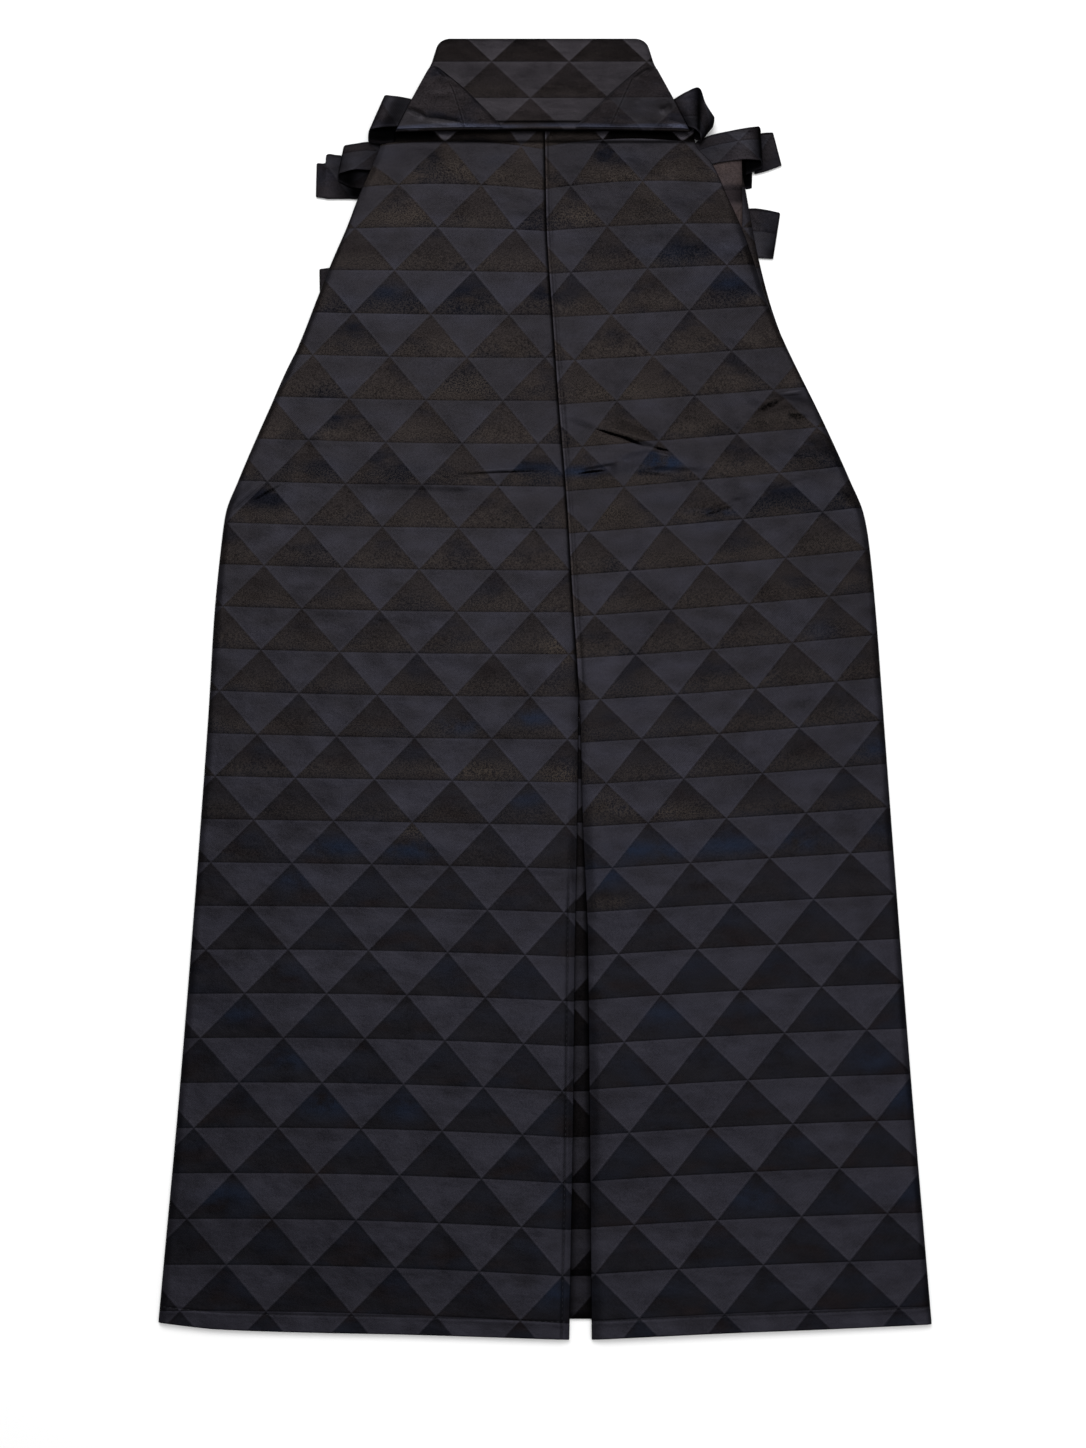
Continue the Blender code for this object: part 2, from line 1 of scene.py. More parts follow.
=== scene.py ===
"""Cloth, straps, stitching and studio for a men's divided hakama laid face down.

Metres. X runs across the garment, Y from the hem to the waist and Z up. Places along
the length are given as "up", measured from the lowest point of the hem. The charts of
sheen, folds, creases and loops are in millimetres and say so.
"""

import math

import bpy
import numpy as np
from bpy.props import FloatProperty, FloatVectorProperty, IntProperty, PointerProperty
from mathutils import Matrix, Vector


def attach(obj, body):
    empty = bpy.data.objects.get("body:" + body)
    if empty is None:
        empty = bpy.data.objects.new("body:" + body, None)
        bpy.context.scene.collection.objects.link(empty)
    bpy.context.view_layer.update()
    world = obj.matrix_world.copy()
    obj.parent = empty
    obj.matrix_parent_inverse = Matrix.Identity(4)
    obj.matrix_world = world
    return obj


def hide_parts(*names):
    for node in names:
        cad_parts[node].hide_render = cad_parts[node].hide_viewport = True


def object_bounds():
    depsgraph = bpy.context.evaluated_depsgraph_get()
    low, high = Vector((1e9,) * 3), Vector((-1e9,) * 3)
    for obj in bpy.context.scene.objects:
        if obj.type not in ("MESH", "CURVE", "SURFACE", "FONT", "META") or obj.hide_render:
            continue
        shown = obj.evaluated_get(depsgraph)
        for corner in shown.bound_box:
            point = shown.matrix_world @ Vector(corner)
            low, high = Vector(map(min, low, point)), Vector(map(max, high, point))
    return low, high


bl_info = {
    "name": "Laid hakama",
    "version": (1, 0, 0),
    "blender": (4, 5, 0),
    "location": "3D View > Sidebar > Hakama",
    "description": "Cloth, straps, stitching and studio for a divided hakama laid face down",
    "category": "Object",
}

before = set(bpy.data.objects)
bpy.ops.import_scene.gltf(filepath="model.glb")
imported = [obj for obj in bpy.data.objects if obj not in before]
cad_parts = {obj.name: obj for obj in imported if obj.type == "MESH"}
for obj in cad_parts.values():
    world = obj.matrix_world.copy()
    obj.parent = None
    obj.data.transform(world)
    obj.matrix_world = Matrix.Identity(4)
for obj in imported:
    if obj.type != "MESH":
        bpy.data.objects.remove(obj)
FRAME_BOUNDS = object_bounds()
HEM_Y = FRAME_BOUNDS[0][1]
BODY = "root"
WAY = {"left": -1.0, "right": 1.0}           # which way each side lies from the middle
SEAM_GAP = 0.0003                            # between two pieces sewn together

# Outer edges of the back panels, as distances from the middle line
SIDE_EDGE = {
    "up":    (0.000, 0.251, 0.483, 0.548, 0.612, 0.634, 0.660, 0.709, 0.775, 0.808, 0.840,
              0.869, 0.894, 0.922, 0.939, 0.960),
    "left":  (0.2892, 0.2736, 0.2618, 0.2595, 0.2548, 0.2522, 0.2430, 0.2234, 0.1953, 0.1832,
              0.1712, 0.1592, 0.1500, 0.1385, 0.1325, 0.1300),
    "right": (0.2892, 0.2750, 0.2632, 0.2600, 0.2553, 0.2518, 0.2419, 0.2212, 0.1910, 0.1780,
              0.1680, 0.1580, 0.1470, 0.1350, 0.1215, 0.1200),
}

# Inner edges of the back panels: one seam above the split, two edges below it
INNER_EDGE = {
    "up":    (0.000, 0.161, 0.297, 0.389, 0.483, 0.563, 0.643, 0.733, 0.791, 0.870, 0.960),
    "left":  (0.0179, 0.0212, 0.0230, 0.0248, 0.0258, 0.0220, 0.0174, 0.0104, 0.0065, 0.0015, 0.0),
    "right": (0.0351, 0.0341, 0.0330, 0.0294, 0.0273, 0.0223, 0.0177, 0.0107, 0.0068, 0.0018,
              0.0003),
}

# Rise of the hem line, by share of the panel's width from its inner edge
HEM_RISE = {
    "up":    (0.0, 0.40, 0.65, 0.85, 1.0),
    "left":  (0.0, 0.0038, 0.0054, 0.0076, 0.0125),
    "right": (0.0, 0.0048, 0.0072, 0.0094, 0.0112),
}
HEM_FADE = 0.16

# Height of the back panels' upper face, over the layers below, and at their outer edge
LIE = {
    "up":   (0.000, 0.634, 0.700, 0.775, 0.808, 0.840, 0.869, 0.894, 0.922, 0.939,
             0.9425, 0.957),
    "body": (0.0057, 0.0057, 0.0060, 0.0072, 0.0086, 0.0099, 0.0101, 0.0102, 0.0103, 0.0106,
             0.0082, 0.0074),
    "edge": (0.0027, 0.0027, 0.0031, 0.0040, 0.0050, 0.0062, 0.0078, 0.0096, 0.0098, 0.0101,
             0.0079, 0.0074),
}
PANEL_TOP = 0.957
EDGE_ROLL = 0.006
INNER_ROLL = 0.009
INNER_DROP = 0.0015
SPLIT_TOP = 0.483
SPLIT_FADE = 0.08
JOIN_FADE = 0.02           # length over which both edges come together above the split

# How the woven rows lie on each back panel. "drop" is how far a row lies below its even
# place and "shift" how far a column lies to the right of it, in millimetres, at the
# seam, half way across and at the side.
WEAVE_START = {"left": (-0.0417, 0.3887), "right": (0.0792, 0.3231)}
WEAVE_LIE = {
    "up": (0.0, 0.25, 0.50, 0.65, 0.80, 0.95),
    "left drop seam":     (1.0, 1.5, 5.0, 7.5, 3.5, 2.0),
    "left drop middle":   (-6.5, -4.0, 4.0, 6.0, 3.0, -5.5),
    "left drop side":     (-8.5, -4.5, 0.0, 2.5, 1.5, -1.0),
    "left shift seam":    (-7.0, -7.0, -2.0, 2.0, 14.0, 20.0),
    "left shift middle":  (-11.0, -2.0, 3.5, 6.5, 12.5, 24.8),
    "left shift side":    (-17.0, -4.0, 4.0, 7.0, 12.0, 11.0),
    "right drop seam":    (2.0, 3.0, 11.0, 14.0, 8.0, 2.0),
    "right drop middle":  (-4.5, -4.5, 3.0, 4.5, 4.0, -5.5),
    "right drop side":    (-8.5, -9.5, -7.5, -6.5, -1.0, -1.5),
    "right shift seam":   (22.0, 11.0, -5.5, -15.0, -26.5, -23.0),
    "right shift middle": (26.5, 9.0, -8.0, -17.0, -26.0, -33.5),
    "right shift side":   (35.0, 10.5, -5.0, -14.0, -23.0, -28.0),
}
WEAVE_WIDE = 0.0617        # base of a woven triangle
WEAVE_TALL = 0.0342        # height of a row of triangles

# Painted shade and highlight along the woven figure's edges: lines at each row's head and
# foot and along the triangles' sides. Where each runs and its half width are fractions of a
# row or a triangle. The inner line's tone is taken away and the others' are added.
HEAD_LINE, FOOT_LINE = (0.03, 0.03), (0.985, 0.03)
OUTER_LINE, INNER_LINE = (0.045, 0.045), (-0.04, 0.04)
LINE_TONE = {"head": 0.10, "foot": -0.28, "outer": 0.14, "inner": 0.12}
# Heights of the ribs, of each noise and of the dark triangles below the light ones
RELIEF = {"twill": 0.00003, "fine": 0.0001, "mottle": 0.0006, "cloud": 0.0016, "dark": 0.00005}

# How strongly each noise and the ribs show in the cloth's lightness. Warm dark triangles
# show fine grain more.
GRAIN_TONE = {"fine": 0.9, "fine_warm": 1.6, "mottle": 1.0, "drift": 0.5, "twill": 0.035}
LEAST_TONE = 0.02

# Patches of sheen: the noise they start at and their gain, then what is added or the most
# that the sheen covers
DUSK_CLOUDS, DUSK_DRIFT = (0.50, 8.0), (0.25, 4.0)
BLUE_CLOUDS, BLUE_MOST = (0.47, 5.0), 0.2
BROWN_START, BROWN_GAIN, BROWN_MOST = 0.47, 6.0, 0.6
GOLD_GRAIN, BLUE_GRAIN = (0.5, 6.0, 0.6), (0.40, 4.0, 0.5)
ON_LIGHT = {"dusk": 0.25, "blue": 0.5}       # the most on the light triangles
GLEAM_MOST = 0.9

# Faint sheen in every row: strength, where up the legs it starts and how soon it is full,
# and its middle and half width as fractions of the row
ROW_SHEEN = {
    "blue": (0.16, 0.50, -0.20, 0.38, 0.20),
    "gold": (0.40, 0.30, 0.15, 0.80, 0.22),
}

# Painted blue and golden sheen and painted dusk, its dark clouds, on the dark triangles, in
# millimetres: x, up, half width, half height, strength
SHEEN = {
    "blue": ((110, 845, 25, 8, 0.25), (152, 822, 22, 8, 0.5), (-120, 815, 18, 8, 0.35),
             (92, 674, 17, 6, 1.6), (54, 672, 10, 3, 1.0), (68, 677, 10, 3, 1.0),
             (80, 681, 9, 3, 1.0), (30, 667, 22, 4, 0.9), (-20, 670, 25, 3, 0.6),
             (136, 634, 17, 3, 1.0), (175, 655, 24, 4, 0.2), (215, 540, 18, 7, 0.4),
             (-65, 463, 20, 7, 0.6), (-10, 469, 18, 6, 0.8), (255, 446, 15, 8, 0.7),
             (-15, 407, 20, 8, 0.5), (95, 366, 30, 6, 0.8), (260, 385, 15, 7, 0.5),
             (195, 374, 24, 7, 0.9), (145, 370, 22, 7, 0.8), (-160, 368, 24, 6, 0.9),
             (-104, 366, 24, 6, 0.9), (60, 366, 18, 7, 0.7), (45, 348, 18, 8, 0.7),
             (-195, 344, 22, 7, 0.5), (90, 242, 22, 8, 0.5), (-240, 241, 22, 7, 0.6),
             (250, 206, 18, 8, 0.6), (-195, 205, 20, 7, 0.6), (270, 178, 17, 9, 0.7),
             (-165, 173, 24, 9, 0.8), (-110, 169, 24, 8, 0.7), (10, 109, 12, 9, 0.7),
             (-243, 105, 25, 8, 0.7), (260, 105, 18, 8, 0.5), (156, 104, 22, 8, 0.5),
             (8, 35, 12, 9, 0.6)),
    "gold": ((30, 880, 22, 9, 0.8), (-60, 920, 25, 10, 0.6), (60, 905, 18, 8, 0.5),
             (-110, 880, 25, 10, 0.6), (100, 890, 20, 8, 0.7), (12, 523, 12, 13, 0.9),
             (-52, 429, 30, 8, 0.6), (12, 421, 12, 12, 0.8), (48, 405, 18, 9, 0.7),
             (95, 396, 34, 7, 0.6), (-103, 381, 20, 7, 0.8), (50, 326, 18, 5, 0.5),
             (60, 735, 20, 9, 0.5), (-60, 740, 25, 10, 0.6), (45, 637, 16, 8, 1.0)),
    "dusk": ((60, 927, 24, 8, 1.0), (-40, 925, 12, 6, 0.7), (-12, 872, 17, 8, 1.0),
             (75, 846, 30, 6, 1.0), (135, 849, 32, 7, 1.1), (-112, 805, 30, 10, 1.1),
             (-164, 805, 15, 8, 0.9), (-58, 808, 27, 9, 1.1), (-4, 813, 14, 7, 0.9),
             (152, 820, 32, 10, 1.2), (-152, 785, 14, 6, 1.0), (-134, 765, 14, 5, 0.9),
             (-175, 732, 22, 7, 1.0), (-151, 713, 19, 5, 0.8), (-3, 670, 18, 8, 1.0),
             (-176, 671, 24, 7, 1.0), (-115, 668, 30, 7, 0.9), (-221, 644, 26, 9, 1.1),
             (210, 678, 30, 9, 1.1), (235, 672, 14, 7, 0.9), (212, 733, 14, 5, 1.0),
             (99, 645, 20, 6, 0.8), (190, 645, 32, 10, 1.2), (240, 641, 16, 8, 1.0),
             (134, 622, 22, 5, 0.9), (75, 668, 16, 3, 0.8), (-130, 930, 16, 6, 0.8)),
}

# Painted shade and highlights of sharp folds in the backs' cloth, in millimetres: x and up
# at both ends, half width, tone, below 0 a painted dark line and above 0 a painted bright one
STROKES = (
    (39, 702.5, 63, 694, 1.3, -1.5), (55, 697.5, 80, 687.5, 1.6, -1.5),
    (85, 687, 99, 684, 1.4, -1.2), (16, 711, 44, 701, 4.0, -0.4), (84, 683, 100, 680, 1.0, 0.7),
    (24, 665, 50, 668, 1.4, -1.3), (166, 715, 191, 727, 3.6, -0.9),
    (190, 713, 211, 712, 3.2, -0.6), (186, 731, 206, 734, 1.1, 0.9),
    (187, 729, 207, 731, 1.2, -0.6), (118, 628, 153, 641, 2.2, -0.5),
    (70, 667, 104, 663, 1.8, -0.5), (-72, 665, 10, 668, 1.2, -0.8), (-66, 667, 0, 671, 1.2, 0.6),
    (-232, 643, -208, 657, 1.8, -0.8),
)

# Painted shadow on the backs' dark triangles where they sink under the board
RECESS = {
    "x":     (-0.125, -0.092, -0.078, -0.032, -0.004, 0.037, 0.055, 0.125),
    "shade": (0.97, 0.97, 0.80, 0.55, 0.40, 0.40, 0.92, 0.97),
}
RECESS_FROM, RECESS_FADE = 0.9395, 0.004     # where it starts, and how soon it is full

# Painted warm sheen on the dark triangles: warmer and lighter from the hem to the waist
WARMTH = {
    "up":   (0.0, 0.22, 0.45, 0.58, 0.75, 0.85, 0.93),
    "warm": (0.0, 0.06, 0.33, 0.62, 0.85, 0.62, 1.0),
}

# Creases, in millimetres: x and up at both ends, width on the waist side, width on the hem
# side, height. A narrow hem side gives a dark line, a narrow waist side a bright one.
CREASES = {
    "left": (
        (-150, 658, -40, 653.5, 7, 2.5, 1.3),
        (-80, 662, 18, 670, 2.2, 8, 1.3),
        (-262, 627, -216, 664, 6, 2.8, 1.9),
        (-236, 624, -205, 620, 5, 6, 0.9),
        (-100, 522, 18, 508, 14, 10, 1),
        (-60, 462, 10, 467, 5, 7, 1.1),
        (-95, 406, 12, 401, 6, 8, 1),
        (-170, 374, -40, 366, 8, 12, 0.9),
        (-120, 918, -60, 926, 8, 6, 0.9),
        (-205, 708, -170, 690, 6, 8, 0.8),
    ),
    "right": (
        (40, 703.5, 100, 684.5, 9, 1.6, 2.6),
        (88, 687, 215, 703, 8, 4.5, 1.1),
        (24, 666, 62, 673.5, 1.4, 7.5, 2.2),
        (54, 671.5, 92, 684, 5, 6, 1.6),
        (68, 668, 136, 666.5, 2.5, 9, 1.3),
        (112, 627, 168, 648, 3, 8, 1.5),
        (155, 643, 226, 666, 4, 9, 1.2),
        (150, 712, 206, 726, 7.5, 3, 1.8),
        (176, 729, 214, 722.5, 2, 5, 1.2),
        (200, 696, 240, 662, 7, 5, 1.4),
        (228, 656, 253, 626, 4, 7, 1.2),
        (90, 398.5, 180, 410, 7, 2, 1),
        (40, 548, 110, 556, 15, 10, 0.9),
        (52, 905, 78, 924, 6, 3.5, 1.2),
        (98, 908, 126, 934, 6, 4, 1.2),
    ),
}
CREASE_TAPER = 3.0         # a crease fades over a third of its length at each end

# Puff of the woven rows between their lines, by place up the legs
PUFF = {
    "up":   (0.0, 0.30, 0.45, 0.60, 0.75, 0.95),
    "high": (0.00055, 0.00055, 0.00045, 0.00030, 0.00025, 0.00018),
}
PUFF_RISE, PUFF_FALL = 1.3, 0.16   # power it rises by down a row, share of the row it falls in
RUMPLE_WAVES = 14          # long waves that add up to the cloth's unevenness
RUMPLE_LONG = (0.05, 0.22)           # shortest and longest of them
RUMPLE_SEED = 4

STITCH_GROOVE = 0.00035
STITCH_HALF = 0.0011       # half width of the groove along a line of stitches
SEAM_HALF = 0.0014         # half width of the groove along a seam
# Painted shadow on the left back's seam edge, painted highlight on the right's folded edge
SEAM_LINE = {              # groove's distance from the seam, its depth, line's half width, shade
    "left": (0.0, 0.0010, 0.0022, 0.75),
    "right": (0.0030, 0.0004, 0.0012, -0.6),
}
BAND_WIDE, BAND_TOP, BAND_FADE = 0.0055, 0.36, 0.03    # sewn band along the left split edge
BAND_LOW = 0.004           # where its stitches start
BAND_LINE = (0.45, 0.0010)           # shade along its stitches and half width of their groove
HEM_STITCHED = (0.006, 0.994)        # shares of a panel's width between which the hem is sewn
SPINDLE_SIDES = 6          # sides of a stitch's spindle of thread
SPINDLE_BLUNT = 0.02       # how blunt its ends are
SPINDLE_STEP = 0.0005      # how far each way the path is read for its heading
SPINDLE_RINGS = (-1.0, -0.8, 0.0, 0.8, 1.0)  # places of its rings along its half length

# Front panels: knife pleats whose folds face the middle and spread towards the hem
FRONT_TOP = 0.9137
FRONT_INNER = {"left": (0.012, 0.0255), "right": (0.042, 0.0262)}
FRONT_INNER_WAIST = {"left": -0.00015, "right": 0.00015}
FRONT_EDGE = {name: SIDE_EDGE[name][:8] + waist for name, waist in {
    "up":    (0.775, 0.810, 0.845, 0.889, 0.905, 0.9137),
    "left":  (0.1945, 0.1655, 0.1550, 0.1320, 0.1270, 0.1250),
    "right": (0.1910, 0.1797, 0.1712, 0.1638, 0.1615, 0.1602),
}.items()}
PLEATS = {                 # distance of each fold from the middle: at the waist, at the hem
    "left":  ((0.028, 0.060), (0.062, 0.155)),
    "right": ((0.018, 0.090), (0.046, 0.150), (0.078, 0.215)),
}
PLEAT_DEPTH = (0.018, 0.045)
PLEAT_RAMP = (0.0055, 0.0015)
FOLD_POINTS = 7            # points along each run of a pleat's fold
FRONT_ROWS = 110
FRONT_WEAVE = 0.3          # where across a triangle their figure starts
OFF_CHART = 9.0            # step across past every charted spot of sheen
OTHER_WAVES = 0.4          # step across to waves that differ from the backs'
PLEAT_LEVELS = (0.0006, 0.0021, 0.0036)      # heights of a pleat's three layers
SIDE_LIFT = {
    "up":   (0.000, 0.800, 0.832, 0.842, 0.892, 0.9137),
    "lift": (0.0, 0.0, 0.0024, 0.0030, 0.0030, 0.0018),
}
SIDE_LIFT_RAMP = (0.046, 0.026)

# Gusset that closes the split, seen between the two legs
GUSSET = {
    "up":   (0.015, 0.10, 0.20, 0.30, 0.40, 0.470),
    "half": (0.039, 0.034, 0.028, 0.022, 0.016, 0.012),
}
GUSSET_GRID = (90, 25)     # rows and columns
GUSSET_MIDDLE = 0.0268
GUSSET_HIGH = 0.0027
GUSSET_PUFF = 0.0002       # how far its woven rows stand up
GUSSET_SHADE = (0.52, 0.43, 0.4)     # in its middle, added by its edges, on dark triangles
GUSSET_SHADE_FROM = 0.2    # share of the opening's half width where its edges begin
GUSSET_THIN = 0.8          # its wall as a share of the other panels'
GUSSET_WEAVE = (0.0170, 0.1145)      # x and up of a point where its triangles meet
GUSSET_FOLD = 0.0497                 # below here its figure is half a triangle over

# Side fold of the right front, seen in the side opening
SIDE_FOLD = {
    "up":    (0.862, 0.880, 0.900, 0.930),
    "inner": (0.132, 0.126, 0.122, 0.122),
    "outer": (0.1580, 0.1587, 0.1590, 0.1590),
}
SIDE_FOLD_GRID = (60, 24)
SIDE_FOLD_HIGH = 0.0057
SIDE_FOLD_LIFT = 0.0004    # how much higher its outer edge lies
SIDE_FOLD_RIDGE = (0.911, 0.005, 0.0006)     # up, half width, height
SIDE_FOLD_DIP = (0.900, 0.003, 0.0003)       # up, half width, depth
SIDE_FOLD_SHADE = {
    "up":    (0.862, 0.880, 0.888, 0.893, 0.903, 0.908, 0.922, 0.930),
    "shade": (-0.5, -0.6, -0.5, 0.28, 0.28, -0.72, -0.72, 0.3),
    "gleam": (0.0, 0.0, 0.1, 0.22, 0.22, 0.0, 0.0, 0.0),
}

# Back board: stiff, tilted, its lower edge lying on the folded straps
BOARD_MIDDLE = -0.0018
BOARD = {
    "up":   (0.9475, 0.978, 1.010, 1.024, 1.033),
    "half": (0.1190, 0.1057, 0.0905, 0.0868, 0.0850),
}
BOARD_LOW, BOARD_HIGH = BOARD["up"][0], BOARD["up"][-1]
BOARD_TALL = BOARD_HIGH - BOARD_LOW
BOARD_GRID = (64, 44)      # stations across and shares up
BOARD_SHARE = 0.85         # its area as a share of its width by its height
BOARD_BOW = 0.002
BOARD_CORNER = 0.009
BOARD_THICK = {"lower": 0.0042, "upper": 0.0030}
BOARD_UNDER = {"lower": 0.0111, "upper": 0.0}
BOARD_ROLL = 0.0040
BOARD_WARMTH = 0.42
BOARD_LEAST = 0.12         # its edges' share of its thickness
GLEAM_HIGH, GLEAM_SWAY, GLEAM_HALF = 0.0030, 0.0006, 0.0018    # gleam along its lower edge
GLEAM_MEAN, GLEAM_SWING = 0.70, 0.30       # its strength, and how far that rises and falls
GLEAM_WAVES = (70, 46, 131)          # radians per metre, of its sway and of its strength
ROLL_SHADE = (0.6, 0.0010)           # shade right at the lower edge, and its half width
BOARD_FOLD = (0.0014, 0.9, 0.048, 0.012)   # its groove's half width, shade, reach and fade
BOARD_TOP_ROW = (1.006, 0.010, 0.3)        # where the top row starts, how soon, contrast
BOARD_WEAVE = ((-0.0433, 1.0110), 0.0631, 0.0334)    # a meeting point, triangle width, height
BOARD_GROOVE = (0.0070, 0.0009, 0.0005)    # place above the lower edge, half width, depth

# Strap ends sewn flat over the board's lower corners: their slanting edge on the board
STRAP_END = {
    "share": (0.02, 0.15, 0.29, 0.42, 0.50, 0.57, 0.70),
    "left":  (0.0345, 0.0440, 0.0543, 0.0638, 0.0705, 0.0769, 0.0891),
    "right": (0.0251, 0.0346, 0.0457, 0.0559, 0.0627, 0.0686, 0.0797),
}
STRAP_END_GRID = (70, 130)
STRAP_END_OUTER = 0.992    # share of the board's half width where they begin
STRAP_END_SEAM = {         # a double line of stitches through each of them: up and x
    "left": ((0.9520, 0.9802, 0.9912), (-0.0650, -0.0728, -0.0770)),
    "right": ((0.9520, 0.9750, 0.9962), (0.0534, 0.0628, 0.0716)),
}
STRAP_END_LIGHT = (        # x and up of a line on the left one: dark above it, light below
    (-0.1180, -0.1120, -0.0955, -0.0680, -0.0640, -0.0350),
    (0.9700, 0.9680, 0.9595, 0.9550, 0.9460, 0.9400))
STRAP_END_FADE = 0.0012    # width over which it turns from dark to light
STRAP_END_GROOVE = (0.0006, 0.0003)        # half width and depth of the double seam's groove
STRAP_END_WELT = (0.0022, 0.0002)          # half width and height of the cloth beside it
STRAP_END_LINES = (        # shade, distance from the double seam, half width
    (0.5, 0.0, 0.0005), (-0.45, 0.0012, 0.0006))
STRAP_END_SEWN = (0.05, 0.44)              # shares of the board's height it is sewn between
STRAP_END_SEAM_FADE = 0.003
STRAP_END_DIP = (0.0005, 0.03)             # how far the slanting edge sinks, over what share
STRAP_END_WARMTH = 0.8
STRAP_END_TONE = {"left": -0.75, "right": -0.55}     # shade of each, below 0 for brighter
STRAP_END_CREASES = {      # rows as in CREASES
    "left": ((-112, 968, -95.5, 959.7, 2.2, 2.2, 1.3),
             (-96.5, 959.7, -67, 955, 2.4, 2.4, 1.2),
             (-90.5, 1007.2, -77.5, 994.2, 1.6, 1.6, 1.1)),
    "right": ((72, 994, 88.5, 1006.2, 1.8, 1.8, 1.3),
              (92.5, 964, 103, 970.8, 2.4, 2.4, 1.2),
              (98, 957, 117, 951, 3, 3, 0.8)),
}
# Painted shade and highlights of the strap ends' creases and folds; below 0 is a highlight
STRAP_END_SHADE = {        # soft tones in millimetres: x, up, half width, half height, shade
    "left": ((-101, 957, 12, 4, -0.2), (-85, 952, 12, 3, -0.2), (-104, 966, 7, 2.5, 0.6),
             (-98, 961.5, 6, 2, 0.5), (-85, 958, 9, 1.8, 0.75), (-74, 956.5, 7, 1.6, 0.75),
             (-87, 1003, 3, 3, 0.5), (-81, 998, 3.5, 3, 0.6), (-88, 984, 10, 12, -0.15),
             (-120, 962, 3, 12, 0.3)),
    "right": ((105, 959, 6, 4, -0.3), (94, 961, 7, 4, -0.3), (112, 956, 7, 6, -0.5),
              (76.5, 996.5, 4, 1.6, 0.5), (84, 1002.5, 4, 2, 0.6), (97, 967, 5, 1.8, 0.5)),
}

# Flat bundles of folded strap, as low and high corners (x, up, z), and their layers
BUNDLES = {
    "front_waist_band": ((-0.118, 0.9140, 0.0002), (0.118, 0.9410, 0.0042), 3),
    "front_strap_bundle": ((-0.1205, 0.852, 0.0045), (0.1205, 0.9395, 0.0079), 4),
}
BUNDLE_RINGS = (           # share of a bundle's width, and how much its section is drawn in
    (0.0, 0.0009), (0.004, 0.0002), (0.012, 0.0), (0.5, 0.0), (0.988, 0.0), (0.996, 0.0002),
    (1.0, 0.0009))
BACK_BUNDLE_RINGS = ((-1.0, 0.0008), (-0.99, 0.0), (0.0, 0.0), (0.99, 0.0), (1.0, 0.0008))
BUNDLE_WEAVE = (0.01, 0.93)                  # x and up of a point where triangles meet
# Painted shadow under the board on the back strap bundle
BUNDLE_SHADE = {"back_strap_bundle": 0.85}   # the others aren't darkened
BACK_BUNDLE = {"half": 0.1205, "low": 0.9500, "high": 0.972, "thick": 0.0020, "layers": 2}
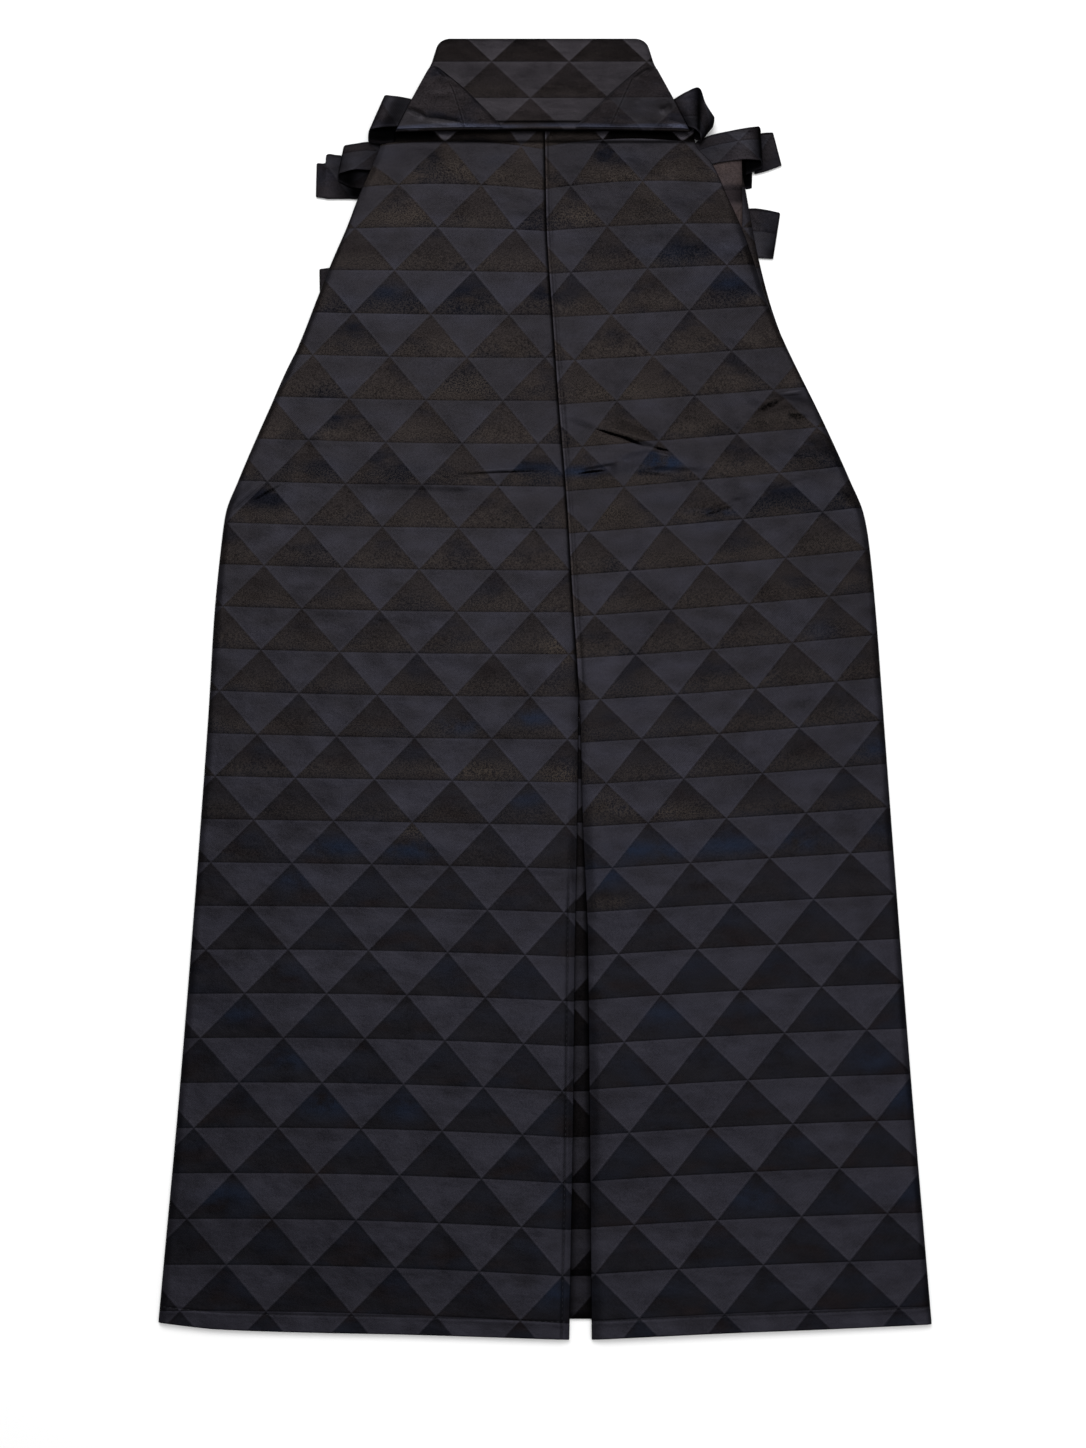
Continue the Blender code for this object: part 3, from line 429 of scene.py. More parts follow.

# Strap loops: a ribbon runs out, turns over in a half circle and runs back under itself.
# Each row is a station along the run out or the run back: x, up and z of the middle of
# the cloth at the ribbon's waist-side ("far") edge and at its hem-side ("near") edge, in
# millimetres, then the painted shade at each, a painted highlight below 0.
LOOPS = {
    "back_strap_loop_left": ((
        (-107.8, 976.2, 11.2, -118.9, 952, 14.6, 0.25, 0.35),
        (-119, 978.5, 11.2, -130, 951.5, 14.4, 0.2, 0.4),
        (-124.5, 979.3, 10.8, -136, 950.8, 14.1, -0.9, -0.6),
        (-128.5, 980, 10.4, -140.5, 950, 13.8, 0.1, 0.3),
    ), (
        (-128.8, 977.5, 7.2, -141.6, 939.5, 11.2, 0.9, 0.95),
        (-123, 974.5, 6.8, -132, 938.5, 11.2, 0.97, 0.97),
        (-120.5, 970.5, 6.8, -121.5, 940, 11.1, 0.97, 0.97),
    )),
    "back_strap_loop_right": ((
        (104.4, 976, 11.2, 115.6, 951.8, 14.6, 0.2, 0.9),
        (115, 982, 12.4, 121.5, 949.5, 14.5, -1.1, 0.5),
        (124.3, 985.5, 12.4, 124, 947, 14.1, 0.8, 0.97),
        (129.8, 972.5, 11.8, 125.5, 945, 13.8, -1.3, 0.4),
        (136.7, 961.2, 11, 125.8, 942.4, 13.5, 0.5, 0.7),
    ), (
        (135, 953.5, 8.4, 125, 940, 11.2, 0.8, 0.9),
        (121.5, 957, 8, 120.5, 943, 11, 0.97, 0.97),
    )),
    "front_strap_left_upper": ((
        (-119, 939, 7.3, -119, 916.5, 7.3, 0.9, 0.9),
        (-132, 940.2, 7.3, -132, 917.2, 7.3, 0.6, 0.7),
        (-143, 941.2, 7.3, -143, 917.8, 7.3, 0.1, 0.2),
        (-154.5, 939.5, 7.4, -154.5, 918, 7.8, -0.2, -0.1),
        (-161.2, 938.5, 7.2, -165.5, 915, 7.4, 0.1, 0.5),
    ), (
        (-161.2, 933, 3.7, -165, 908.5, 3.7, 0.8, 0.97),
        (-156, 929, 3.6, -158, 905, 3.6, 0.97, 0.97),
        (-147, 927, 3.6, -148, 903.5, 3.6, 0.97, 0.6),
        (-130, 925, 3.6, -130, 903, 3.6, 0.97, 0.97),
    )),
    "front_strap_left_middle": ((
        (-130, 928, 2.1, -130, 895, 2.1, 0.95, 0.95),
        (-155, 930, 2.1, -156, 895.5, 2.1, 0.85, 0.97),
        (-169, 932.2, 2.1, -169, 895.5, 2.1, 0.1, 0.3),
        (-176.8, 932.2, 2.1, -176, 895.5, 2.1, -0.1, -0.4),
        (-177.5, 925.8, 2.1, -178, 896, 2.1, 0.3, -0.4),
        (-183.8, 925.2, 2.1, -184, 896.8, 2.1, -0.2, 0.1),
    ), (
        (-183.8, 924, 0.6, -184, 898.5, 0.6, 0.3, 0.3),
        (-174, 923, 0.6, -174, 897.5, 0.6, 0.9, 0.9),
        (-130, 921, 0.6, -130, 897, 0.6, 0.95, 0.95),
    )),
    "front_strap_left_lower": ((
        (-154, 837, 2.1, -154, 813, 2.1, 0.3, 0.3),
        (-169, 837, 2.1, -169, 813, 2.1, 0.2, 0.2),
        (-180.2, 835.7, 2.1, -179.5, 813, 2.1, 0.0, 0.1),
    ), (
        (-180.2, 834.7, 0.6, -179.5, 813, 0.6, 0.5, 0.5),
        (-169, 834, 0.6, -169, 813, 0.6, 0.9, 0.9),
    )),
    "front_strap_right_upper": ((
        (119, 937.2, 7.3, 119, 917.5, 7.3, 0.1, 0.1),
        (122.8, 941.2, 7.3, 122.8, 919, 7.3, 0.0, 0.0),
        (130, 945.2, 7.3, 130, 921.5, 7.3, -0.1, -0.2),
        (150, 950.5, 7.5, 150, 925.5, 7.5, -0.4, -0.3),
        (166, 953.5, 7.6, 166, 926.8, 7.7, -0.8, -0.5),
        (173, 954.6, 7, 173.8, 926.2, 7, 0.85, 0.8),
    ), (
        (173, 948, 3.8, 174.2, 920, 3.8, 0.97, 0.97),
        (162.5, 943, 3.7, 162.5, 915, 3.7, 0.97, 0.97),
    )),
    "front_strap_right_middle": ((
        (170, 949, 2.1, 170, 916.5, 2.1, 0.9, 0.95),
        (177, 951, 2.1, 179, 919, 2.1, -0.1, 0.3),
        (184.4, 951.5, 2.1, 190.7, 923.5, 2.1, -0.4, -0.2),
    ), (
        (184.4, 950.3, 0.6, 190.7, 924.7, 0.6, 0.9, 0.9),
        (177, 947.5, 0.6, 179, 921.5, 0.6, 0.95, 0.95),
        (170, 945, 0.6, 170, 919, 0.6, 0.95, 0.95),
    )),
    "front_strap_right_end": ((
        (159.3, 930, 0.6, 159.3, 905.5, 0.6, 0.97, 0.97),
        (163.7, 930, 0.6, 163.7, 904.5, 0.6, 0.97, 0.97),
        (168, 930, 0.6, 167.2, 905.2, 0.6, 0.9, 0.9),
    ), ()),
    "front_strap_right_lower": ((
        (150, 883, 2.1, 150, 848, 2.1, 0.6, 0.7),
        (170, 886.8, 2.1, 170, 845.8, 2.1, -0.1, -0.7),
        (179, 885.5, 2.1, 176.5, 845.2, 2.1, -0.3, 0.1),
        (188.8, 883.3, 2.1, 182.7, 844.8, 2.1, -0.1, 0.9),
    ), (
        (188.8, 881.8, 0.6, 182.7, 846.2, 0.6, 0.6, 0.9),
        (170, 878, 0.6, 170, 850, 0.6, 0.9, 0.9),
        (150, 876, 0.6, 150, 851, 0.6, 0.9, 0.9),
    )),
}
LOOP_STEPS = 7             # stations worked out between two rows
LOOP_TURN_STEP = 15        # degrees between stations round the half circle at the turn
LOOP_COLUMNS = 15
STRAP_CROWN = 0.00025      # how far a strap's middle stands above its edges
LOOP_WARMTH = 0.4
# Painted highlight along each ribbon's edges
LOOP_EDGE = (0.3, 0.05)    # how much brighter a ribbon's edges are, and over what share
LOOP_WEAVE = (0.37, 0.31, 0.9)       # figure's steps from loop to loop, rows across a ribbon

PATTERN_STEPS = 34         # weaving steps up one side of a triangle
TWILL = 0.0019             # pitch of the slanting ribs in the ground weave
GRAINS = (                 # scale along each axis and detail of the cloth's unevenness
    ((900.0, 900.0, 900.0), 3.0),            # fine: single threads
    ((60.0, 75.0, 60.0), 4.0),               # mottle
    ((24.0, 44.0, 24.0), 3.0),               # clouds
    ((31.0, 70.0, 31.0), 2.0),               # drifts
)
RIM_BULGE = 0.45           # how far a cloth's edge is rounded out, in walls
FLOOR_SIZE = 5.0
LIGHTS = {                 # place and size of each soft light; it looks at the middle
    "key": ((-0.25, 0.95, 1.9), 1.1),
    "top": ((0.5, -0.3, 2.4), 1.8),
}


def between(at, stops, values, bounded=True):
    """A smooth curve through the values at the stops.

    Each span is a cubic. The slope where two spans meet is the weighed mean of theirs,
    or their harmonic mean where the curve mustn't run past its own values.
    """
    stops, values = np.asarray(stops, float), np.asarray(values, float)
    width = np.diff(stops)
    slope = np.diff(values) / width
    before, after = slope[:-1], slope[1:]
    middle = (before * width[1:] + after * width[:-1]) / (width[1:] + width[:-1])
    if bounded:
        rising = before * after > 0
        total = np.where(rising, before + after, 1.0)
        middle = np.where(rising, 2 * before * after / total, 0.0)
    slopes = np.concatenate([slope[:1], middle, slope[-1:]])
    at = np.clip(at, stops[0], stops[-1])
    span = np.clip(np.searchsorted(stops, at, side="right") - 1, 0, len(width) - 1)
    t = (at - stops[span]) / width[span]
    return ((2 * t**3 - 3 * t**2 + 1) * values[span]
            + (t**3 - 2 * t**2 + t) * width[span] * slopes[span]
            + (3 * t**2 - 2 * t**3) * values[span + 1]
            + (t**3 - t**2) * width[span] * slopes[span + 1])


def column(table, name, up, bounded=True):
    """A named column of a table, read smoothly between its rows."""
    return between(up, table["up"], table[name], bounded)


def soft_step(share):
    """Rises smoothly from 0 to 1 as share goes from 0 to 1."""
    share = np.clip(share, 0.0, 1.0)
    return share * share * (3 - 2 * share)


def bell(distance, half, power=2):
    """1 at no distance and falling smoothly: e to the minus (distance over half)^power."""
    return np.exp(-((distance / half) ** power))


def place(x, up, z):
    """Points from places across, up the length and above the table."""
    return np.stack(np.broadcast_arrays(x, up + HEM_Y, z), axis=-1)


def seen_from_above(points):
    """Places across and up the length of points."""
    return points[..., 0], points[..., 1] - HEM_Y


def run_along(points):
    """Length run so far at each point of a path, or of every row of a grid."""
    steps = np.linalg.norm(np.diff(points, axis=-2), axis=-1)
    return np.concatenate([np.zeros_like(steps[..., :1]), np.cumsum(steps, axis=-1)], axis=-1)


def denser(count, low, high, focuses):
    """Numbers from low to high, closer together near each (place, reach, gain)."""
    fine = np.linspace(low, high, 4000)
    weight = np.ones_like(fine)
    for spot, reach, gain in focuses:
        weight += gain * bell(fine - spot, reach)
    total = np.concatenate([[0.0], np.cumsum((weight[1:] + weight[:-1]) / 2)])
    return np.interp(np.linspace(0, total[-1], count), total, fine)


def unit(vectors):
    """The same directions with length 1."""
    return vectors / np.maximum(np.linalg.norm(vectors, axis=-1, keepdims=True), 1e-12)


def grid_normals(face):
    """Across-direction times along-direction at every point of a grid of points."""
    return unit(np.cross(np.gradient(face, axis=1), np.gradient(face, axis=0)))


def face_area(face):
    """Area of a grid of points: half the diagonals' cross product, quad by quad."""
    one = face[1:, 1:] - face[:-1, :-1]
    other = face[1:, :-1] - face[:-1, 1:]
    return float(np.linalg.norm(np.cross(one, other), axis=-1).sum() / 2)


def quads(numbers, closed=False):
    """Quads of a grid of point numbers, whose columns may close into rings.

    They are turned so that across times along points outwards.
    """
    if closed:
        numbers = np.hstack([numbers, numbers[:, :1]])
    return np.stack([numbers[:-1, :-1], numbers[:-1, 1:], numbers[1:, 1:], numbers[1:, :-1]],
                    axis=-1).reshape(-1, 4)


def turned(faces):
    """The same quads the other way round, from the same corner."""
    return np.roll(faces[:, ::-1], 1, axis=1)


def add_piece(name, points, faces, material, weave=None, tones=None):
    """A mesh object that rides on the garment, with its weave map and tone fields."""
    mesh = bpy.data.meshes.new(name)
    mesh.from_pydata(points.reshape(-1, 3).tolist(), [], faces)
    mesh.shade_smooth()
    if weave is not None:
        corners = np.empty(len(mesh.loops), np.int32)
        mesh.loops.foreach_get("vertex_index", corners)
        layer = mesh.uv_layers.new(name="weave")
        layer.uv.foreach_set("vector", weave.reshape(-1, 2)[corners].ravel())
    for label, values in (tones or {}).items():
        field = mesh.attributes.new(label, "FLOAT", "POINT")
        field.data.foreach_set("value", np.ascontiguousarray(values, np.float32).ravel())
    mesh.materials.append(material)
    piece = bpy.data.objects.new(name, mesh)
    bpy.context.scene.collection.objects.link(piece)
    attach(piece, BODY)
    return piece


def shell_parts(face, wall, above=0.0):
    """Points and faces of a closed thin shell with a rounded rim.

    face is a grid on the cloth. Its outer side lies "above" walls over the grid along
    the normals and its inner side one wall beneath that. The rim bulges RIM_BULGE walls.
    """
    numbers = np.arange(face[..., 0].size).reshape(face.shape[:2])
    normal = grid_normals(face)
    outer = (face + normal * wall * above).reshape(-1, 3)
    inner = outer - normal.reshape(-1, 3) * wall
    border = np.concatenate([numbers[0, :-1], numbers[:-1, -1], numbers[-1, :0:-1],
                             numbers[:0:-1, 0]])
    centre = (outer[border] + inner[border]) / 2
    along = np.roll(centre, -1, axis=0) - np.roll(centre, 1, axis=0)
    outwards = unit(np.cross(along, normal.reshape(-1, 3)[border]))
    rim = centre + outwards * wall * RIM_BULGE
    lip = 2 * numbers.size + np.arange(len(border))
    face_quads = quads(numbers)
    side = turned(quads(np.stack([border, lip, border + numbers.size]), closed=True))
    faces = np.vstack([face_quads, face_quads[:, ::-1] + numbers.size, side])
    return np.vstack([outer, inner, rim]), faces.tolist(), border


def add_shell(name, face, wall, material, weave, tones=None, above=0.0):
    """A closed thin shell of cloth over a grid of points, as shell_parts describes it."""
    points, faces, border = shell_parts(face, wall, above)

    def spread(values, parts):
        """Values of the grid's points for the outer face, the inner face and the rim."""
        flat = values.reshape(-1, parts)
        return np.vstack([flat, flat, flat[border]])

    every = None if tones is None else {
        label: spread(np.broadcast_to(values, face.shape[:2]).astype(float), 1)
        for label, values in tones.items()}
    return add_piece(name, points, faces, material, spread(weave, 2), every)


def add_loft(name, rings, material, weave, tones=None):
    """A closed solid through rings of equal even count; each end is zipped shut."""
    count, around = rings.shape[:2]
    side = quads(np.arange(count * around).reshape(count, around), closed=True)
    half = np.arange(around // 2 - 1)
    zipped = np.stack([half, half + 1, around - 2 - half, around - 1 - half], axis=1)
    faces = np.vstack([side, zipped[:, ::-1], zipped + (count - 1) * around])
    return add_piece(name, rings, faces.tolist(), material, weave, tones)


def declare_cloth(node, area):
    """Hides the solid that the cloth stands for."""
    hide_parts(node)


class Value:
    """One output of a shader node, with the arithmetic that makes Math nodes."""

    def __init__(self, shade, socket):
        self.shade, self.socket = shade, socket

    def math(self, operation, *others):
        return self.shade.node("Math", {"operation": operation}, (self, *others))

    def __add__(self, other):
        return self.math("ADD", other)

    def __sub__(self, other):
        return self.math("SUBTRACT", other)

    def __rsub__(self, other):
        return self.math("MULTIPLY", -1.0) + other

    def __mul__(self, other):
        return self.math("MULTIPLY", other)

    def __truediv__(self, other):
        return self.math("DIVIDE", other)

    __radd__, __rmul__ = __add__, __mul__

    def clamped(self):
        return self.shade.node("Clamp", {}, {"Value": self, "Min": 0.0, "Max": 1.0})


class Shade:
    def __init__(self, name):
        self.material = bpy.data.materials.new(name)
        self.material.use_nodes = True
        self.tree = self.material.node_tree
        self.tree.nodes.clear()

    def node(self, kind, settings, inputs, output=0):
        """Adds a node of a kind, sets its settings and fills or links its inputs."""
        made = self.tree.nodes.new("ShaderNode" + kind)
        for key, value in settings.items():
            setattr(made, key, value)
        pairs = inputs.items() if isinstance(inputs, dict) else enumerate(inputs)
        for key, value in pairs:
            if isinstance(value, Value):
                self.tree.links.new(value.socket, made.inputs[key])
            else:
                made.inputs[key].default_value = value
        return Value(self, made.outputs[output]) if made.outputs else self.material

    def mix(self, factor, one, other, blend="MIX"):
        """A colour that goes from one to other as factor goes from 0 to 1."""
        one, other = (c if isinstance(c, Value) else (*c, 1.0) for c in (one, other))
        return self.node("Mix", {"data_type": "RGBA", "blend_type": blend},
                         {0: factor, 6: one, 7: other}, output=2)

    def field(self, name):
        """A field stored on the mesh's points."""
        return self.node("Attribute", {"attribute_name": name}, {}, output="Fac")

    def spot(self, scale, start=None):
        """Place on the piece, counted from a start and scaled along each axis."""
        spot = self.node("TexCoord", {}, {}, output="Object")
        if start:
            spot = self.node("VectorMath", {"operation": "SUBTRACT"}, {0: spot, 1: start})
        return self.node("VectorMath", {"operation": "MULTIPLY"}, {0: spot, 1: scale})

    def grain(self, scale, detail=2.0):
        """Smooth noise about one half over the piece, scaled along each axis."""
        return self.node("TexNoise", {}, {"Vector": self.spot(scale), "Scale": 1.0,
                                          "Detail": detail})

    def finish(self, inputs):
        """Ends the tree with one shader of these inputs and gives the material."""
        shader = self.node("BsdfPrincipled", {}, inputs)
        return self.node("OutputMaterial", {}, {"Surface": shader})


def woven_triangles(shade):
    """Where a point lies in the figure: dark share, fraction down the row, way outside.

    With row the whole part of v and down its fraction, and off twice the distance of u
    from the nearest apex of that row, a point is dark where off is under down. The
    sides are stepped as the weave is.
    """
    weave = shade.node("UVMap", {"uv_map": "weave"}, {})
    u = shade.node("SeparateXYZ", {}, {0: weave}, output="X")
    v = shade.node("SeparateXYZ", {}, {0: weave}, output="Y")
    row = v.math("FLOOR")
    down = v - row
    stepped = (down * PATTERN_STEPS + 0.5).math("FLOOR") / PATTERN_STEPS
    apex = row.math("FLOORED_MODULO", 2.0) * 0.5
    off = (u - apex).math("PINGPONG", 0.5) * 2.0
    dark = ((stepped - off) * 25.0 + 0.5).clamped()
    twill = ((u * WEAVE_WIDE + v * WEAVE_TALL) * (2 * math.pi / TWILL)).math("SINE")
    return dark, down, off - down, twill


def line(value, middle, half):
    """A soft line: 1 where value is at middle, falling to 0 over half on either side."""
    return (1.0 - ((value - middle) / half).math("ABSOLUTE")).clamped()


def stroke(shade, spot, x0, up0, x1, up1, half):
    """A long thin ellipse between two points: 1 along its middle, 0 at its border."""
    turned = shade.node("Mapping", {"vector_type": "TEXTURE"}, {
        "Vector": spot, "Location": ((x0 + x1) / 2, (up0 + up1) / 2, 0.0),
        "Rotation": (0.0, 0.0, math.atan2(up1 - up0, x1 - x0)),
        "Scale": (math.hypot(x1 - x0, up1 - up0) / 2, half, 1.0)})
    away = shade.node("VectorMath", {"operation": "LENGTH"}, {0: turned}, output="Value")
    return ((1.0 - away) * 1.6).clamped()


def patches(noise, start, gain, added=None):
    """Soft-edged patches, 0 to 1, where a noise is over its start: steeper with gain."""
    over = (noise - start) * gain
    return (over if added is None else over + added).clamped()


def woven_colour(shade, dark, warm, grains, look):
    """Colour of the figured cloth.

    The light and the dark triangles each get their own painted sheen: clouds of dusk, blue
    and brown by warmth, then the gold and blue of the mesh's fields, broken up by the grain.
    """
    fine, mottle, cloud, drift = grains
    cool = (1.1 - warm * 1.2 + (drift - 0.5) * 2.0).clamped()
    light = shade.mix(cool, look["light"], look["light_cool"])
    deep = shade.mix(warm, look["dark"], look["dark_warm"])
    dusk = patches(cloud, *DUSK_CLOUDS) * warm * look["cloud"]
    dusk = dusk + shade.field("dusk") * patches(drift, *DUSK_DRIFT)
    deep = shade.mix(dusk.clamped(), deep, look["shadow"])
    clouds = patches(cloud, *BLUE_CLOUDS) * (1.0 - warm) * BLUE_MOST
    deep = shade.mix(clouds, deep, look["blue"])
    clouds = ((BROWN_START - drift) * BROWN_GAIN).clamped() * (1.0 - warm) * BROWN_MOST
    deep = shade.mix(clouds, deep, look["brown"])
    gold = shade.field("gold") * patches(fine, *GOLD_GRAIN)
    deep = shade.mix(gold.clamped(), deep, look["gold"])
    blue = shade.field("blue") * patches(mottle, *BLUE_GRAIN)
    deep = shade.mix(blue.clamped(), deep, look["blue"])
    light = shade.mix(shade.field("dusk").clamped() * ON_LIGHT["dusk"], light, look["gleam"])
    light = shade.mix(blue.clamped() * ON_LIGHT["blue"], light, look["pale_blue"])
    colour = shade.mix(dark, light, deep)
    return shade.mix(shade.field("gleam").clamped() * GLEAM_MOST, colour, look["gleam"])


def woven_tone(shade, figure, warm, grains, strokes):
    """Lightness of the figured cloth about 1, as a grey colour.

    It is the lines of painted shade and highlight along rows and triangles, the grain and
    the painted folds together, times what the mesh's painted shade leaves, times what its
    recess leaves: less on the dark triangles and more on the light ones.
    """
    dark, down, outside, twill = figure
    fine, mottle, _, drift = grains
    tones = LINE_TONE
    rows = line(down, *FOOT_LINE) * tones["foot"] * dark + line(down, *HEAD_LINE) * tones["head"]
    sides = (line(outside, *OUTER_LINE) * tones["outer"]
             - line(outside, *INNER_LINE) * tones["inner"])
    shown = GRAIN_TONE
    grain = ((fine - 0.5) * (dark * warm * shown["fine_warm"] + shown["fine"])
             + (mottle - 0.5) * shown["mottle"] + (drift - 0.5) * shown["drift"]
             + twill * shown["twill"])
    spot = shade.spot((1000.0, 1000.0, 0.0), start=(0.0, HEM_Y, 0.0))
    for *ends, half, strength in strokes:
        grain = grain + stroke(shade, spot, *ends, half) * strength
    tone = ((1.0 + rows + sides + grain) * (1.0 - shade.field("shade"))
            * (1.0 - shade.field("recess") * (dark * 2.0 - 1.0)))
    tone = tone.math("MAXIMUM", LEAST_TONE)
    return shade.node("CombineXYZ", {}, (tone, tone, tone))


def woven_material(name, look, strokes=()):
    """Figured cloth: light and dark triangles with painted blue, brown and golden sheen."""
    shade = Shade(name)
    figure = dark, _, _, twill = woven_triangles(shade)
    grains = fine, mottle, cloud, _ = [shade.grain(*size) for size in GRAINS]
    warm = shade.field("warm").clamped()
    colour = woven_colour(shade, dark, warm, grains, look)
    tone = woven_tone(shade, figure, warm, grains, strokes)
    colour = shade.mix(1.0, colour, tone, "MULTIPLY")
    height = (twill * RELIEF["twill"] + fine * RELIEF["fine"] + mottle * RELIEF["mottle"]
              + cloud * RELIEF["cloud"] - dark * RELIEF["dark"])
    bump = shade.node("Bump", {}, {"Strength": 1.0, "Distance": 1.0, "Height": height})
    return shade.finish({
        "Base Color": colour, "Roughness": look["rough"] + (mottle - 0.5) * 0.2,
        "Metallic": look["metal"], "Specular IOR Level": look["specular"],
        "Specular Tint": look["rim"], "Normal": bump})


def lit(colour, *gains):
    """A colour with each of its parts times a gain."""
    return tuple(part * gain for part, gain in zip(colour, gains))


def thread_material(name, colour):
    """Sewing thread with a slight sheen."""
    shade = Shade(name)
    twist = shade.grain((1500.0, 1500.0, 1500.0))
    colour = shade.mix(twist, colour, lit(colour, 1.4, 1.4, 1.4))
    return shade.finish({"Base Color": colour, "Roughness": 0.6, "Specular IOR Level": 0.15})


def crease_height(x, up, creases):
    """Sum of soft ridges, each a bell across its line that tapers towards both ends.

    The chart of creases is in millimetres, places and height are in metres.
    """
    height = np.zeros(np.broadcast(x, up).shape)
    for x0, up0, x1, up1, waist_width, hem_width, rise in np.array(creases) / 1000:
        length = math.hypot(x1 - x0, up1 - up0)
        along = ((x - x0) * (x1 - x0) + (up - up0) * (up1 - up0)) / length**2
        off = ((x - x0) * (up1 - up0) - (up - up0) * (x1 - x0)) / length
        width = np.where(off > 0, hem_width, waist_width)
        taper = soft_step(along * CREASE_TAPER) * soft_step((1 - along) * CREASE_TAPER)
        height += rise * taper * bell(off, width)
    return height


def rumple(x, up, high):
    """Long waves, mostly across the garment, whose lengths and turns are drawn by seed."""
    draw = np.random.default_rng(RUMPLE_SEED)
    total = np.zeros(np.broadcast(x, up).shape)
    for _ in range(RUMPLE_WAVES):
        turn = draw.normal(math.pi / 2, 0.5)
        length = draw.uniform(*RUMPLE_LONG)
        phase = draw.uniform(0, 2 * math.pi)
        across = (x * math.cos(turn) + up * math.sin(turn)) / length
        total = total + np.sin(2 * math.pi * across + phase) * length
    return total * high


def add_spots(field, x, up, chart):
    """Adds soft oval spots to a field: each its strength times a bell both ways."""
    for spot_x, spot_up, half_wide, half_tall, strength in chart:
        field += strength * np.exp(-((x * 1000 - spot_x) / half_wide) ** 2
                                   - ((up * 1000 - spot_up) / half_tall) ** 2)


def sheen_fields(x, up, down):
    """Painted blue and golden sheen: the charted spots over a faint one in every row.

    down is the fraction of the row, 0 at its top line. Blue gathers in the upper half
    of the rows towards the hem, gold near the bottom of the rows above the split.
    """
    tones = plain_fields(x + up, column(WARMTH, "warm", up))
    for label, (strength, starts, over, middle, half) in ROW_SHEEN.items():
        tones[label] += strength * soft_step((up - starts) / over) * bell(down - middle, half)
    for label, chart in SHEEN.items():
        add_spots(tones[label], x, up, chart)
    return tones


def plain_fields(like, warm=0.5, shade=0.0):
    """The tone fields of cloth without charted sheen.

    shade is painted shade over the whole cloth, and painted light below 0; recess darkens the
    dark triangles and lightens the light ones, as painted shade under the board and on the gusset.
    """
    levels = {"blue": 0.0, "gold": 0.0, "dusk": 0.0, "warm": warm, "shade": shade,
              "recess": 0.0, "gleam": 0.0}
    return {label: np.zeros(np.shape(like)) + level for label, level in levels.items()}


def back_weave(side, x, up, share):
    """Weave map of a back panel: columns along u, rows counted down along v.

    Shift and drop at a share of the width lie on the parabola through their values at
    the seam, half way and at the side.
    """
    parts = (1 - share) * (1 - 2 * share), 4 * share * (1 - share), share * (2 * share - 1)

    def lie(kind):
        """Shift or drop of the rows at each point, in metres."""
        return sum(part * column(WEAVE_LIE, f"{side} {kind} {where}", up, False) / 1000
                   for part, where in zip(parts, ("seam", "middle", "side")))

    x0, up0 = WEAVE_START[side]
    return np.stack([(x - x0 - lie("shift")) / WEAVE_WIDE, (up0 - up - lie("drop")) / WEAVE_TALL],
                    axis=-1)


def down_the_row(weave):
    """Fraction of the woven row at each point of a weave map, 0 at its top line."""
    return weave[..., 1] - np.floor(weave[..., 1])


def groove(distance, half, deep):
    """A rounded channel: the depth times a bell of the distance over its half width."""
    return -deep * bell(distance, half)


def back_face(side, up, share, cloth):
    """Upper face of one leg's back with its weave map, painted sheen and painted shade.

    The height is the layers' height falling to the rounded edges, plus the creases,
    the long waves and the grooves of seams and stitches. Each woven row rises slowly
    from its top line and falls off steeply below the next one.
    """
    own = column(INNER_EDGE, side, up)
    shared = (column(INNER_EDGE, "left", up) + column(INNER_EDGE, "right", up)) / 2
    joined = soft_step((up - SPLIT_TOP) / JOIN_FADE)
    inner = own + (shared - own) * joined
    outer = WAY[side] * column(SIDE_EDGE, side, up)
    x = inner + share * (outer - inner)
    rise = column(HEM_RISE, side, share) * np.clip(1 - up / HEM_FADE, 0, 1)
    to_outer, to_inner = np.abs(outer - x), np.abs(x - inner)
    from_outer = np.clip(to_outer / EDGE_ROLL, 0, 1)
    from_inner = np.clip(to_inner / INNER_ROLL, 0, 1)
    body, edge = column(LIE, "body", up), column(LIE, "edge", up)
    z = edge + (body - edge) * np.sqrt(1 - (1 - from_outer) ** 2)
    sink = INNER_DROP * soft_step((SPLIT_TOP + SPLIT_FADE - up) / SPLIT_FADE)
    z = z - sink * (1 - from_inner) ** 2
    weave = back_weave(side, x, up + rise, share)
    flat = soft_step(from_outer) * soft_step(from_inner)
    down = down_the_row(weave)
    puff = column(PUFF, "high", up) * cloth.puff * (
        down**PUFF_RISE - soft_step(down / PUFF_FALL) + 1)
    ridges = crease_height(x, up, CREASES[side])
    z = z + (ridges + puff + rumple(x, up, cloth.rumple)) * flat
    seam_off, seam_deep, line_half, line_shade = SEAM_LINE[side]
    z = z + groove(to_inner - seam_off, SEAM_HALF, seam_deep) * joined
    z = z + groove(up - cloth.hem, STITCH_HALF, STITCH_GROOVE)
    tones = sheen_fields(x, up + rise, down)
    # Painted shadow under the board's lower edge
    tones["recess"] += (between(x, RECESS["x"], RECESS["shade"])
                        * soft_step((up - RECESS_FROM) / RECESS_FADE))
    if side == "left":
        banded = soft_step((BAND_TOP - up) / BAND_FADE)
        band_shade, band_half = BAND_LINE
        z = z + groove(to_inner - BAND_WIDE, band_half, STITCH_GROOVE) * banded
        tones["shade"] += band_shade * bell(to_inner - BAND_WIDE, STITCH_HALF) * banded
    tones["shade"] += line_shade * bell(to_inner, line_half) * joined
    return place(x, up + rise, z), weave, tones


def facing_right(face, weave, tones):
    """The same grid with its columns in the order of growing X."""
    if face[0, 0, 0] < face[0, -1, 0]:
        return face, weave, tones
    return face[:, ::-1], weave[:, ::-1], {name: part[:, ::-1] for name, part in tones.items()}


